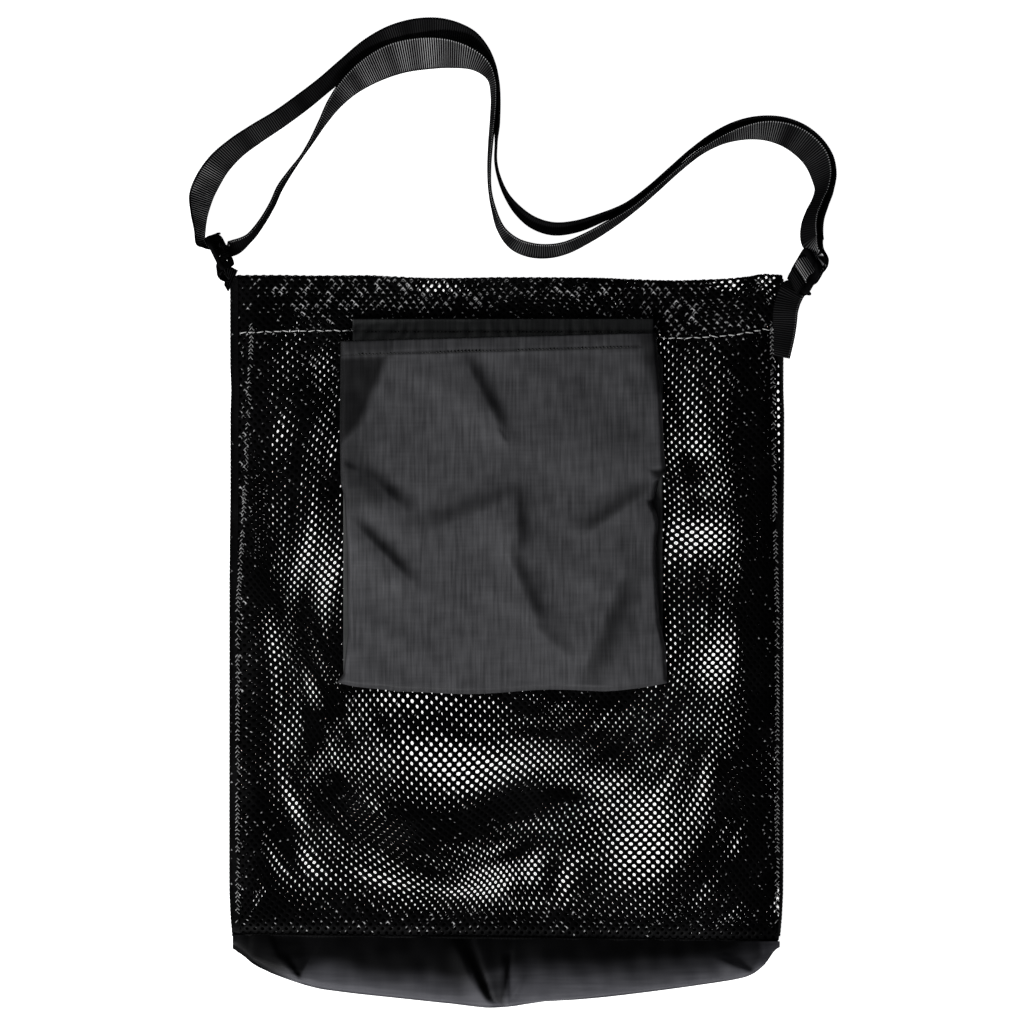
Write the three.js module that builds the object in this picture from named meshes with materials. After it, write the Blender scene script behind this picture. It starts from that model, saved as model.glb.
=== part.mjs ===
// A net foraging bag that lies on its back: two net panels, a woven base, a flat pocket and a doubled strap.
// Millimetres, +Z up. +X runs across the bag, +Y from its base to its mouth, and the floor is z = 0.
import * as THREE from "three";

// Driving dimensions
const BAG_WIDTH = 400; // side seam to side seam
const MOUTH_Y = 239; // top edge of the net
const SEAM_Y = -239.5; // where the net meets the base, at the middle
const SEAM_SLOPE = -0.012; // the base seam sinks a little towards the right
const CLOTH = 1.2; // wall of the net and of the base
const HEM_DEPTH = 41; // folded band round the mouth
const HEM_WALL = 2; // doubled net in that band
const LOFT = 8.5; // how far the front panel stands off the back one
const SIDE_ROUND = 20; // width over which the front panel curves down to the side seam
const ROUND_POWER = 2.2; // how steeply a panel rises from its seam
const BASE_DRAW_IN = 2.5; // each side seam draws in this much at the base
const DRAW_IN_HEIGHT = 45; // and over this height
const GAP = 0.4; // clearance between pieces that are sewn together

const POCKET_CLOTH = 1;
const POCKET_PUFF = 6.5; // room inside the pocket
const POCKET_HEM = 9;
const POCKET_ROUND = 17; // width over which the pocket's front leaf curves down to its seams

const WEBBING_WIDTH = 25;
const WEBBING_WALL = 1.3;
const STRAP_STEP = 14; // spacing of the strap's sections
const STRAP_CLEAR = 0.15; // the webbing's lower edge is this far off the floor

const SLIDER_WIDTH = 34; // along the bars
const SLIDER_WALL = 3.5;
const SLIDER_BAR = 4;
const SLIDER_SLOT = 6.5; // opening between two bars, along the strap
const SLIDER_RAIL = 3.5;
const SLIDER_BEVEL = 0.6;
const SLIDER_CORNER = 3;
const SLOT_CORNER = 1.5;

// Waves in the top edge of the net: a rise or sag centred at x.
const MOUTH_WAVES = [
  { x: 120, width: 45, height: -2.4 },
  { x: 186, width: 9, height: 1.5 },
];

// Folds: a ridge or dent centred at x, y, whose line is turned from +X by turn degrees.
const NET_FOLDS = [
  { x: -153, y: -165, turn: -60, reach: 55, width: 13, height: -1.6 },
  { x: -175, y: -67, turn: -74, reach: 60, width: 9, height: 2 },
  { x: -87, y: -147, turn: -25, reach: 45, width: 10, height: 1.8 },
  { x: -28, y: -118, turn: 4, reach: 80, width: 30, height: 2 },
  { x: 88, y: -161, turn: 50, reach: 60, width: 26, height: 2.2 },
  { x: 160, y: 34, turn: 88, reach: 120, width: 12, height: -1.5 },
  { x: 150, y: -120, turn: 78, reach: 60, width: 14, height: 1.6 },
  { x: -6, y: -208, turn: 2, reach: 100, width: 13, height: 1.6 },
  { x: -129, y: 224, turn: 82, reach: 26, width: 14, height: 1.4 },
  { x: -20, y: 226, turn: 95, reach: 22, width: 16, height: -1.2 },
  { x: 66, y: 224, turn: 86, reach: 24, width: 15, height: 1.3 },
  { x: 131, y: 222, turn: 100, reach: 26, width: 13, height: 1.5 },
];

const POCKET_FOLDS = [
  { x: -14, y: 142, turn: -61, reach: 30, width: 9, height: 2.2 },
  { x: -97, y: 87, turn: -37, reach: 28, width: 9, height: 2.6 },
  { x: -94, y: 40, turn: -46, reach: 24, width: 8, height: 2.6 },
  { x: 13, y: 45, turn: -80, reach: 36, width: 10, height: 2.2 },
  { x: 73, y: 66, turn: 37, reach: 24, width: 9, height: -1.8 },
  { x: 68, y: -20, turn: 63, reach: 32, width: 10, height: 2.2 },
  { x: -104, y: 158, turn: 62, reach: 26, width: 15, height: -2 },
  { x: 108, y: 85, turn: 12, reach: 13, width: 7, height: -2 },
];

const BASE_FOLDS = [
  { x: -18, y: -267, turn: -63, reach: 21, width: 7, height: 2.6 },
  { x: 5, y: -266, turn: 71, reach: 21, width: 6, height: -2.4 },
  { x: -163, y: -252, turn: -58, reach: 18, width: 7, height: 1.8 },
  { x: -141, y: -253, turn: 47, reach: 18, width: 7, height: -2.2 },
  { x: 172, y: -250, turn: 23, reach: 20, width: 8, height: 1.6 },
  { x: 70, y: -262, turn: 6, reach: 60, width: 9, height: 1.2 },
];

// Lower edge of the base, from the left side seam to the right one.
const BASE_OUTLINE = [
  { x: -197.5, y: -243 },
  { x: -194, y: -248 },
  { x: -180, y: -259 },
  { x: -153, y: -270 },
  { x: -136, y: -275 },
  { x: -78, y: -282 },
  { x: -10, y: -288.5 },
  { x: 8, y: -287 },
  { x: 66, y: -281.5 },
  { x: 138, y: -272.5 },
  { x: 176, y: -265.5 },
  { x: 188, y: -257 },
  { x: 194, y: -249 },
  { x: 197.5, y: -245.5 },
];

// The strap's free stretches, each from the left slider to the right one. Lean is the angle of the
// webbing's face off the floor: 0 lies flat, 90 stands on edge, and less than 90 tips its upper edge
// to the left of the way it runs. Lift raises it off the floor.
const INNER_STRAND = [
  { x: -187, y: 265.5, lean: 76, lift: 2.5 },
  { x: -178, y: 277.5, lean: 83, lift: 1 },
  { x: -171, y: 291, lean: 83, lift: 0 },
  { x: -165.5, y: 303, lean: 83, lift: 0 },
  { x: -158, y: 314.5, lean: 86, lift: 0 },
  { x: -150, y: 325.5, lean: 89, lift: 0 },
  { x: -142.5, y: 337, lean: 86, lift: 0 },
  { x: -135, y: 350, lean: 80, lift: 0 },
  { x: -126, y: 364.5, lean: 68, lift: 0 },
  { x: -114, y: 378, lean: 54, lift: 0.5 },
  { x: -99, y: 389, lean: 37, lift: 1 },
  { x: -81.5, y: 397, lean: 21, lift: 2 },
  { x: -63, y: 400.5, lean: 19, lift: 2 },
  { x: -43.5, y: 400.5, lean: 34, lift: 1.5 },
  { x: -28, y: 397, lean: 53, lift: 1 },
  { x: -18, y: 391, lean: 65, lift: 0.5 },
  { x: -12, y: 382, lean: 78, lift: 0 },
  { x: -10.5, y: 369, lean: 87, lift: 0 },
  { x: -11.3, y: 353, lean: 88, lift: 0 },
  { x: -13, y: 335, lean: 87, lift: 0 },
  { x: -14, y: 317, lean: 87, lift: 0 },
  { x: -13.5, y: 302, lean: 87, lift: 0 },
  { x: -11, y: 289, lean: 85, lift: 0 },
  { x: -5.5, y: 273.5, lean: 79, lift: 0 },
  { x: 4, y: 263, lean: 70, lift: 0 },
  { x: 15.5, y: 258.3, lean: 67, lift: 0 },
  { x: 28, y: 257.3, lean: 68, lift: 0 },
  { x: 41, y: 259.7, lean: 71, lift: 0 },
  { x: 57, y: 267, lean: 74, lift: 0 },
  { x: 74, y: 277, lean: 77, lift: 0 },
  { x: 91, y: 288.7, lean: 82, lift: 0 },
  { x: 107, y: 302.3, lean: 83, lift: 0 },
  { x: 123, y: 316.5, lean: 84, lift: 0 },
  { x: 138.5, y: 329, lean: 83, lift: 0 },
  { x: 154.5, y: 338, lean: 78, lift: 0 },
  { x: 170.5, y: 343.2, lean: 68, lift: 0 },
  { x: 186.5, y: 344.8, lean: 56, lift: 0.5 },
  { x: 201, y: 341.8, lean: 46, lift: 1 },
  { x: 213, y: 335, lean: 40, lift: 1.5 },
  { x: 222.3, y: 325, lean: 41, lift: 1.5 },
  { x: 226.5, y: 313.5, lean: 52, lift: 1.5 },
  { x: 227, y: 303.5, lean: 67, lift: 2 },
  { x: 225, y: 294.5, lean: 75, lift: 3 },
  { x: 221.5, y: 285, lean: 74, lift: 4.5 },
  { x: 219.5, y: 275.5, lean: 68, lift: 6 },
  { x: 219.6, y: 265.5, lean: 62, lift: 7.5 },
];

const OUTER_STRAND = [
  { x: -220, y: 262, lean: 78, lift: 3 },
  { x: -223.5, y: 272, lean: 74, lift: 1.5 },
  { x: -224, y: 284, lean: 63, lift: 0 },
  { x: -222.5, y: 297, lean: 47, lift: 0 },
  { x: -217.5, y: 308.5, lean: 44, lift: 0 },
  { x: -209.5, y: 320.5, lean: 48, lift: 0 },
  { x: -197.5, y: 332, lean: 54, lift: 0 },
  { x: -182.5, y: 342.5, lean: 57, lift: 0 },
  { x: -166, y: 353, lean: 60, lift: 0 },
  { x: -149, y: 365.3, lean: 61, lift: 0 },
  { x: -133, y: 378, lean: 63, lift: 0 },
  { x: -117.5, y: 391, lean: 61, lift: 0 },
  { x: -100.5, y: 404, lean: 55, lift: 0 },
  { x: -84, y: 412.5, lean: 50, lift: 0 },
  { x: -67, y: 417, lean: 48, lift: 0 },
  { x: -51, y: 417.7, lean: 49, lift: 0 },
  { x: -38, y: 415.3, lean: 54, lift: 0 },
  { x: -27, y: 411, lean: 63, lift: 0 },
  { x: -18.5, y: 403.5, lean: 73, lift: 0 },
  { x: -12, y: 393, lean: 81, lift: 0 },
  { x: -8.3, y: 380, lean: 85, lift: 0 },
  { x: -7.2, y: 365, lean: 86, lift: 0 },
  { x: -7.6, y: 350, lean: 87, lift: 0 },
  { x: -9, y: 335, lean: 88, lift: 0 },
  { x: -9.2, y: 322, lean: 88, lift: 0 },
  { x: -6.8, y: 310.5, lean: 87, lift: 0 },
  { x: -1.5, y: 298, lean: 84, lift: 0 },
  { x: 7, y: 286.7, lean: 77, lift: 0 },
  { x: 18, y: 278, lean: 72, lift: 0 },
  { x: 32, y: 273.6, lean: 70, lift: 0 },
  { x: 48, y: 275, lean: 72, lift: 0 },
  { x: 67, y: 281.5, lean: 77, lift: 0 },
  { x: 85, y: 290, lean: 82, lift: 0 },
  { x: 101, y: 302, lean: 84, lift: 0 },
  { x: 117, y: 316.3, lean: 85, lift: 0 },
  { x: 133, y: 330.3, lean: 85, lift: 0 },
  { x: 149.5, y: 341.5, lean: 82, lift: 0 },
  { x: 166, y: 348, lean: 75, lift: 0 },
  { x: 182, y: 349.6, lean: 65, lift: 0 },
  { x: 197.5, y: 347, lean: 54, lift: 0 },
  { x: 210.5, y: 341, lean: 47, lift: 0 },
  { x: 220.5, y: 332.5, lean: 45, lift: 0 },
  { x: 227.3, y: 322.5, lean: 48, lift: 0 },
  { x: 230.5, y: 311, lean: 58, lift: 0.5 },
  { x: 231, y: 300.5, lean: 70, lift: 1.5 },
  { x: 229, y: 290.5, lean: 75, lift: 3 },
  { x: 225.8, y: 281, lean: 71, lift: 4.5 },
  { x: 224, y: 271.5, lean: 64, lift: 6 },
  { x: 224.2, y: 262.8, lean: 59, lift: 7 },
];

// Each slider's place: its middle, the way the strap runs through it (turn from +X, and dip below the
// horizontal) and its lean.
const LEFT_SLIDER = { x: -206, y: 256.5, z: 17.2, turn: -64, dip: 0, lean: 105 };
const RIGHT_SLIDER = { x: 214.5, y: 243.3, z: 17.6, turn: 243, dip: 12, lean: 56 };

// The webbing's way through a slider: along is measured down the strap, off from the slider's middle
// plane to its upper face.
const SEWN_LOOP = [
  { along: 3, off: 14 },
  { along: -0.5, off: 9.4 },
  { along: -4.4, off: 5.2 },
  { along: -6.8, off: 2.2 },
  { along: -7.2, off: 0 },
  { along: -7.2, off: -1.8 },
  { along: -8.2, off: -3.1 },
  { along: -10.5, off: -3.3 },
  { along: -12.8, off: -3.1 },
  { along: -14, off: -1.4 },
  { along: -14, off: 1.4 },
  { along: -12.9, off: 3.1 },
  { along: -10.4, off: 3.9 },
  { along: -7.4, off: 6 },
  { along: -3.2, off: 10.6 },
];
const PASSING_STRAND = [
  { along: -9, off: -9.4 },
  { along: -6.2, off: -5.4 },
  { along: -4.9, off: -1.8 },
  { along: -4.1, off: 0.8 },
  { along: -2.4, off: 2.7 },
  { along: 0, off: 3.1 },
  { along: 2.4, off: 2.7 },
  { along: 4.1, off: 0.8 },
  { along: 5.2, off: -1.2 },
  { along: 7.4, off: -2.9 },
  { along: 10.5, off: -3.2 },
  { along: 14, off: -2.9 },
];
const TURN_ROUND_BAR = [
  { along: -14, off: -3.2 },
  { along: -10.5, off: -3.1 },
  { along: -8, off: -2.9 },
  { along: -5.8, off: -1.4 },
  { along: -4.4, off: 0.8 },
  { along: -2.5, off: 2.7 },
  { along: 0, off: 3.1 },
  { along: 2.5, off: 2.8 },
  { along: 3.7, off: 1 },
  { along: 3.9, off: -1.6 },
  { along: 3.1, off: -4.1 },
  { along: 0.8, off: -5.4 },
  { along: -3, off: -5.7 },
  { along: -8, off: -5.6 },
  { along: -14, off: -5.8 },
];
const TAB_LOOP = [
  { along: 15, off: 2.7 },
  { along: 12.7, off: 3.2 },
  { along: 10.4, off: 3.3 },
  { along: 8.1, off: 3 },
  { along: 7.1, off: 1.6 },
  { along: 7.1, off: -1.6 },
  { along: 8.1, off: -3 },
  { along: 10.4, off: -3.3 },
  { along: 13, off: -3 },
];
// Sewn ends: how the webbing leaves each slider for the bag.
const LEFT_SEWN_END = [
  { x: -202.6, y: 237.8, lean: 86, lift: 2.5 },
  { x: -201.2, y: 231, lean: 74, lift: 1 },
];
const TAB_ALONG_SEAM = [
  { x: 206.8, y: 223, lean: 80, lift: 1.5 },
  { x: 204, y: 213.5, lean: 94, lift: 0.6 },
  { x: 202.2, y: 203.5, lean: 106, lift: 0.2 },
  { x: 201, y: 192.5, lean: 113, lift: 0 },
  { x: 200.6, y: 181, lean: 114, lift: 0 },
];

const UP = new THREE.Vector3(0, 0, 1);
const radians = THREE.MathUtils.degToRad;
const unit = (value) => THREE.MathUtils.clamp(value, 0, 1);
const mix = THREE.MathUtils.lerp;

// Height of one fold at a place: full along its line, fading out past its reach and width.
function foldHeight(fold, x, y) {
  const turn = radians(fold.turn);
  const along = (x - fold.x) * Math.cos(turn) + (y - fold.y) * Math.sin(turn);
  const across = (y - fold.y) * Math.cos(turn) - (x - fold.x) * Math.sin(turn);
  return fold.height * Math.exp(-((across / fold.width) ** 2) - (along / fold.reach) ** 4);
}

const foldsAt = (folds, x, y) => folds.reduce((sum, fold) => sum + foldHeight(fold, x, y), 0);

// Rises steeply from 0 at a seam and levels out at 1.
const rounded = (distance, width) => 1 - (1 - unit(distance / width)) ** ROUND_POWER;

// A smooth curve through a table's rows, read at x.
function outlineAt(rows, x) {
  const last = rows.length - 1;
  const found = rows.findIndex((row) => row.x > x);
  const start = THREE.MathUtils.clamp(found < 0 ? last - 1 : found - 1, 0, last - 1);
  const [a, b] = [rows[start], rows[start + 1]];
  const before = rows[Math.max(start - 1, 0)];
  const after = rows[Math.min(start + 2, last)];
  const span = b.x - a.x;
  const slopeA = (b.y - before.y) / (b.x - before.x);
  const slopeB = (after.y - a.y) / (after.x - a.x);
  const t = (x - a.x) / span;
  return (
    a.y * (1 + 2 * t) * (1 - t) ** 2 +
    b.y * t * t * (3 - 2 * t) +
    span * (slopeA * t * (1 - t) ** 2 - slopeB * t * t * (1 - t))
  );
}

// A closed thin sheet. place(u, v, outer) gives a point of its outer or inner face.
function sheet(columns, rows, place) {
  const positions = [];
  const index = [];
  for (const outer of [true, false])
    for (const v of rows) for (const u of columns) positions.push(...place(u, v, outer).toArray());
  const across = columns.length;
  const up = rows.length;
  const inner = across * up;
  const quad = (a, b, c, d) => index.push(a, b, c, a, c, d);
  for (let j = 0; j + 1 < up; j++)
    for (let i = 0; i + 1 < across; i++) {
      const a = j * across + i;
      quad(a, a + 1, a + across + 1, a + across);
      quad(inner + a, inner + a + across, inner + a + across + 1, inner + a + 1);
    }
  for (let i = 0; i + 1 < across; i++) {
    const top = (up - 1) * across + i;
    quad(i + 1, i, inner + i, inner + i + 1);
    quad(top, top + 1, inner + top + 1, inner + top);
  }
  for (let j = 0; j + 1 < up; j++) {
    const left = j * across;
    const right = left + across - 1;
    quad(left, left + across, inner + left + across, inner + left);
    quad(right + across, right, inner + right, inner + right + across);
  }
  return closed(positions, index);
}

function closed(positions, index) {
  const geometry = new THREE.BufferGeometry();
  geometry.setAttribute("position", new THREE.Float32BufferAttribute(positions, 3));
  geometry.setIndex(index);
  geometry.computeVertexNormals();
  return geometry;
}

const steps = (count, from = 0, to = 1) =>
  Array.from({ length: count + 1 }, (_, i) => mix(from, to, i / count));

// Net panels
const seamY = (x) => SEAM_Y + SEAM_SLOPE * x;
const mouthWave = (wave, x) => wave.height * Math.exp(-(((x - wave.x) / wave.width) ** 2));
const mouthY = (x) => MOUTH_WAVES.reduce((y, wave) => y + mouthWave(wave, x), MOUTH_Y);
const halfWidth = (y) => BAG_WIDTH / 2 - BASE_DRAW_IN * (1 - unit((y - SEAM_Y) / DRAW_IN_HEIGHT)) ** 2;

// Underside of the front panel, which clears the back panel and its thicker hem.
function frontUnder(x, y) {
  const rise = rounded(halfWidth(y) - Math.abs(x), SIDE_ROUND);
  const towardsHem = unit((y - MOUTH_Y + 2 * HEM_DEPTH) / (HEM_DEPTH / 2));
  return mix(CLOTH, HEM_WALL, towardsHem) + GAP + rise * (LOFT + foldsAt(NET_FOLDS, x, y));
}

const netWall = (x, y) => (y > mouthY(x) - HEM_DEPTH ? HEM_WALL : CLOTH);

// A net panel lying on the height that under(x, y) gives, thicker in the hem.
function netPanel(columns, rows, under) {
  return sheet(columns, rows, (u, v, outer) => {
    const halfSpan = halfWidth(mix(SEAM_Y, MOUTH_Y, v));
    const x = mix(-halfSpan, halfSpan, u);
    const y = mix(seamY(x), mouthY(x), v);
    return new THREE.Vector3(x, y, under(x, y) + (outer ? netWall(x, y) : 0));
  });
}

const HEM_START = 1 - HEM_DEPTH / (MOUTH_Y - SEAM_Y);
const HEM_STEP = 0.003; // height over which the panel thickens into its hem
const netRows = (plain, hem) => [
  ...steps(plain, 0, HEM_START - HEM_STEP),
  ...steps(hem, HEM_START + HEM_STEP, 1),
];
// Columns lie closer together where the panel curves down to the side seams.
const SIDE_CROWDING = 0.55;
const sideSteps = (count) =>
  steps(count).map((t) => mix(t, 0.5 - 0.5 * Math.cos(Math.PI * t), SIDE_CROWDING));

// Base: a boat-shaped fold of cloth between the lower edges of the two net panels.
const BASE_HALF = 197.5;
const BASE_PUFF = 2.2; // its front bulges this much
const BASE_CORNER = 14; // the bulge and the folds fade out over this width at each corner
const BASE_LEAST_DROP = 2; // how far it still reaches below the seam at its ends
const FOLD_SQUARENESS = 0.5; // 1 turns under in a round bend, less in a flatter one
const FOLD_BOW = 0.75;
const FRONT_FADE = 2.5; // the bulge ends before the cloth turns under
function baseProfile(x, v) {
  const top = seamY(x) - GAP;
  const drop = Math.max(top - outlineAt(BASE_OUTLINE, x), BASE_LEAST_DROP);
  const upper = frontUnder(x, seamY(x)) + CLOTH / 2;
  const lower = CLOTH / 2;
  const angle = Math.PI * v;
  const cosine = Math.cos(angle);
  const lift = Math.sign(cosine) * Math.abs(cosine) ** FOLD_SQUARENESS;
  const y = top - drop * Math.sin(angle) ** FOLD_BOW;
  const onFront = unit(cosine * FRONT_FADE) * unit((BASE_HALF - Math.abs(x)) / BASE_CORNER);
  const puff = BASE_PUFF * Math.sin(Math.PI * unit(v * 2)) + foldsAt(BASE_FOLDS, x, y);
  const z = mix(lower, upper, 0.5 + 0.5 * lift) + onFront * puff;
  return new THREE.Vector2(y, z);
}

const SLOPE_STEP = 0.01;
function basePanel(columns, turns) {
  const span = steps(columns, BASE_HALF, -BASE_HALF);
  return sheet(span, steps(turns), (x, v, outer) => {
    const here = baseProfile(x, v);
    const ahead = baseProfile(x, Math.min(v + SLOPE_STEP, 1));
    const behind = baseProfile(x, Math.max(v - SLOPE_STEP, 0));
    const slope = ahead.sub(behind).normalize();
    const offset = (outer ? 0.5 : -0.5) * CLOTH;
    const outward = v === 0 ? [0, 1] : v === 1 ? [0, -1] : [slope.y, -slope.x];
    const z = Math.max(here.y + offset * outward[1], 0);
    return new THREE.Vector3(x, here.x + offset * outward[0], z);
  });
}

// Pocket: two leaves of cloth on the front panel, sewn at three sides and open at the top.
const POCKET_LEFT = -122.5;
const POCKET_RIGHT = 114.5;
const POCKET_BOTTOM = -58.5; // at the middle of the bag
const BOTTOM_SLOPE = 0.018;
const BOTTOM_WAVE = 1.2; // the lower seam puckers this much
const BOTTOM_WAVE_LENGTH = 17;
const POCKET_MOUTH = 194.5;
const POCKET_MOUTH_SLOPE = 0.026;
const BACK_LEAF_TOP = 207.5;
const BACK_LEAF_MARGIN = 1.5; // the back leaf stays this far inside the front leaf's seams
const BACK_LEAF_INSET = 10; // it narrows this much above the mouth
const INSET_START = 0.9; // share of the leaf's height where the narrowing starts
const INSET_SPAN = 0.08;

const pocketBottom = (x) =>
  POCKET_BOTTOM + BOTTOM_SLOPE * x + BOTTOM_WAVE * Math.sin(x / BOTTOM_WAVE_LENGTH);
const pocketMouth = (x) => POCKET_MOUTH + POCKET_MOUTH_SLOPE * x;

const backLeafUnder = (x, y) => frontUnder(x, y) + HEM_WALL + 1.5 * GAP;

function pocketBack(columns, rows) {
  return sheet(columns, rows, (u, v, outer) => {
    const inset = BACK_LEAF_MARGIN + BACK_LEAF_INSET * unit((v - INSET_START) / INSET_SPAN);
    const x = mix(POCKET_LEFT + inset, POCKET_RIGHT - inset, u);
    const y = mix(pocketBottom(x) + BACK_LEAF_MARGIN, BACK_LEAF_TOP, v);
    return new THREE.Vector3(x, y, backLeafUnder(x, y) + (outer ? POCKET_CLOTH : 0));
  });
}

// The front leaf's underside: down on the back leaf at its seams, puffed out between them.
function frontLeafUnder(x, y) {
  const fromSide = Math.min(x - POCKET_LEFT, POCKET_RIGHT - x);
  const fromBottom = y - pocketBottom(x);
  const rise = rounded(fromSide, POCKET_ROUND) * rounded(fromBottom, POCKET_ROUND);
  const seamTop = backLeafUnder(x, y) + POCKET_CLOTH + GAP;
  return seamTop + rise * (POCKET_PUFF + foldsAt(POCKET_FOLDS, x, y));
}

const POCKET_HEM_START = 1 - POCKET_HEM / (POCKET_MOUTH - POCKET_BOTTOM);
const POCKET_HEM_STEP = 0.002; // height over which the leaf thickens into its hem
const pocketRows = (plain) => [
  ...steps(plain, 0, POCKET_HEM_START - POCKET_HEM_STEP),
  POCKET_HEM_START + POCKET_HEM_STEP,
  1,
];

function pocketFront(columns, rows) {
  return sheet(columns, rows, (u, v, outer) => {
    const x = mix(POCKET_LEFT, POCKET_RIGHT, u);
    const y = mix(pocketBottom(x), pocketMouth(x), v);
    const inHem = y > pocketMouth(x) - POCKET_HEM;
    const wall = inHem ? 2 * POCKET_CLOTH : POCKET_CLOTH;
    return new THREE.Vector3(x, y, frontLeafUnder(x, y) + (outer ? wall : 0));
  });
}

// Webbing
const webbingHeight = (row) => {
  const lean = radians(row.lean);
  const reach = (WEBBING_WIDTH / 2) * Math.sin(lean) + (WEBBING_WALL / 2) * Math.abs(Math.cos(lean));
  return reach + row.lift + STRAP_CLEAR;
};

// Stations of a stretch that runs on the floor: each has its middle and the direction of its width.
function floorStations(rows) {
  return rows.map((row, i) => {
    const before = rows[Math.max(i - 1, 0)];
    const after = rows[Math.min(i + 1, rows.length - 1)];
    const way = new THREE.Vector3(after.x - before.x, after.y - before.y, 0).normalize();
    const leftward = UP.clone().cross(way);
    const lean = radians(row.lean);
    return {
      middle: new THREE.Vector3(row.x, row.y, webbingHeight(row)),
      width: leftward.multiplyScalar(Math.cos(lean)).addScaledVector(UP, Math.sin(lean)),
    };
  });
}

// A slider's own axes: along the strap, along its bars and out of its upper face.
function sliderAxes({ turn, dip, lean }) {
  const along = new THREE.Vector3(Math.cos(radians(turn)), Math.sin(radians(turn)), -Math.tan(radians(dip)));
  along.normalize();
  const leftward = UP.clone().cross(along).normalize();
  const upward = along.clone().cross(leftward);
  const bars = leftward.multiplyScalar(Math.cos(radians(lean)));
  bars.addScaledVector(upward, Math.sin(radians(lean)));
  const face = along.clone().cross(bars);
  if (face.z < 0) face.negate();
  return { along, bars, face };
}

function sliderStations(slider, rows) {
  const { along, bars, face } = sliderAxes(slider);
  return rows.map((row) => ({
    middle: new THREE.Vector3(slider.x, slider.y, slider.z)
      .addScaledVector(along, row.along)
      .addScaledVector(face, row.off),
    width: bars.clone(),
  }));
}

// A flat band swept through the stations on one smooth curve.
function webbing(stations) {
  const middles = new THREE.CatmullRomCurve3(stations.map((station) => station.middle));
  const widths = new THREE.CatmullRomCurve3(stations.map((station) => station.width));
  const last = stations.length - 1;
  const times = [0];
  for (let i = 0; i < last; i++) {
    const length = stations[i].middle.distanceTo(stations[i + 1].middle);
    const parts = Math.max(Math.round(length / STRAP_STEP), 1);
    for (let k = 1; k <= parts; k++) times.push((i + k / parts) / last);
  }
  const positions = [];
  for (const time of times) {
    const middle = middles.getPoint(time);
    const way = middles.getTangent(time);
    const width = widths.getPoint(time);
    width.addScaledVector(way, -width.dot(way)).normalize();
    const face = way.clone().cross(width);
    for (const [a, b] of [
      [1, 1],
      [-1, 1],
      [-1, -1],
      [1, -1],
    ]) {
      const corner = middle.clone().addScaledVector(width, (a * WEBBING_WIDTH) / 2);
      positions.push(...corner.addScaledVector(face, (b * WEBBING_WALL) / 2).toArray());
    }
  }
  const index = [0, 2, 1, 0, 3, 2];
  for (let i = 0; i + 1 < times.length; i++)
    for (let k = 0; k < 4; k++) {
      const [a, b] = [i * 4 + k, i * 4 + ((k + 1) % 4)];
      index.push(a, b, b + 4, a, b + 4, a + 4);
    }
  const end = (times.length - 1) * 4;
  index.push(end, end + 1, end + 2, end, end + 2, end + 3);
  return closed(positions, index);
}

function shoulderStrap() {
  return webbing([
    ...sliderStations(LEFT_SLIDER, SEWN_LOOP).reverse(),
    ...floorStations(INNER_STRAND),
    ...sliderStations(RIGHT_SLIDER, TURN_ROUND_BAR),
    ...floorStations(OUTER_STRAND).reverse(),
    ...sliderStations(LEFT_SLIDER, PASSING_STRAND),
    ...floorStations(LEFT_SEWN_END),
  ]);
}

const strapTab = () =>
  webbing([...sliderStations(RIGHT_SLIDER, TAB_LOOP), ...floorStations(TAB_ALONG_SEAM)]);

// A rectangle with rounded corners, as a path that goes round it once.
function roundedRectangle(path, width, height, radius, middleY) {
  const [right, top] = [width / 2, height / 2];
  path.moveTo(-right + radius, middleY - top);
  path.lineTo(right - radius, middleY - top);
  path.absarc(right - radius, middleY - top + radius, radius, -Math.PI / 2, 0);
  path.lineTo(right, middleY + top - radius);
  path.absarc(right - radius, middleY + top - radius, radius, 0, Math.PI / 2);
  path.lineTo(-right + radius, middleY + top);
  path.absarc(-right + radius, middleY + top - radius, radius, Math.PI / 2, Math.PI);
  path.lineTo(-right, middleY - top + radius);
  path.absarc(-right + radius, middleY - top + radius, radius, Math.PI, 1.5 * Math.PI);
  return path;
}

// A three-bar slider: a rounded plate with two slots.
function sliderPlate() {
  const length = 3 * SLIDER_BAR + 2 * SLIDER_SLOT;
  const bevel = SLIDER_BEVEL;
  const shape = new THREE.Shape();
  const plate = roundedRectangle(shape, SLIDER_WIDTH - 2 * bevel, length - 2 * bevel, SLIDER_CORNER, 0);
  const slotWidth = SLIDER_WIDTH - 2 * SLIDER_RAIL;
  for (const side of [-1, 1]) {
    const middle = (side * (SLIDER_BAR + SLIDER_SLOT)) / 2;
    const slot = roundedRectangle(
      new THREE.Path(),
      slotWidth + 2 * bevel,
      SLIDER_SLOT + 2 * bevel,
      SLOT_CORNER,
      middle,
    );
    plate.holes.push(slot);
  }
  const geometry = new THREE.ExtrudeGeometry(plate, {
    depth: SLIDER_WALL - 2 * bevel,
    bevelThickness: bevel,
    bevelSize: bevel,
    bevelSegments: 1,
    curveSegments: 3,
  });
  return geometry.translate(0, 0, -(SLIDER_WALL - 2 * bevel) / 2);
}

// Materials
const net = new THREE.MeshStandardMaterial({ color: 0x0b0b0c, roughness: 0.55, metalness: 0 });
const nylon = new THREE.MeshStandardMaterial({ color: 0x2c2c2e, roughness: 0.5, metalness: 0 });
const strapWebbing = new THREE.MeshStandardMaterial({ color: 0x101011, roughness: 0.6, metalness: 0 });
const plastic = new THREE.MeshStandardMaterial({ color: 0x161617, roughness: 0.4, metalness: 0 });

const bag = new THREE.Group();

function add(name, geometry, material) {
  const mesh = new THREE.Mesh(geometry, material);
  mesh.name = name;
  bag.add(mesh);
  return mesh;
}

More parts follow.
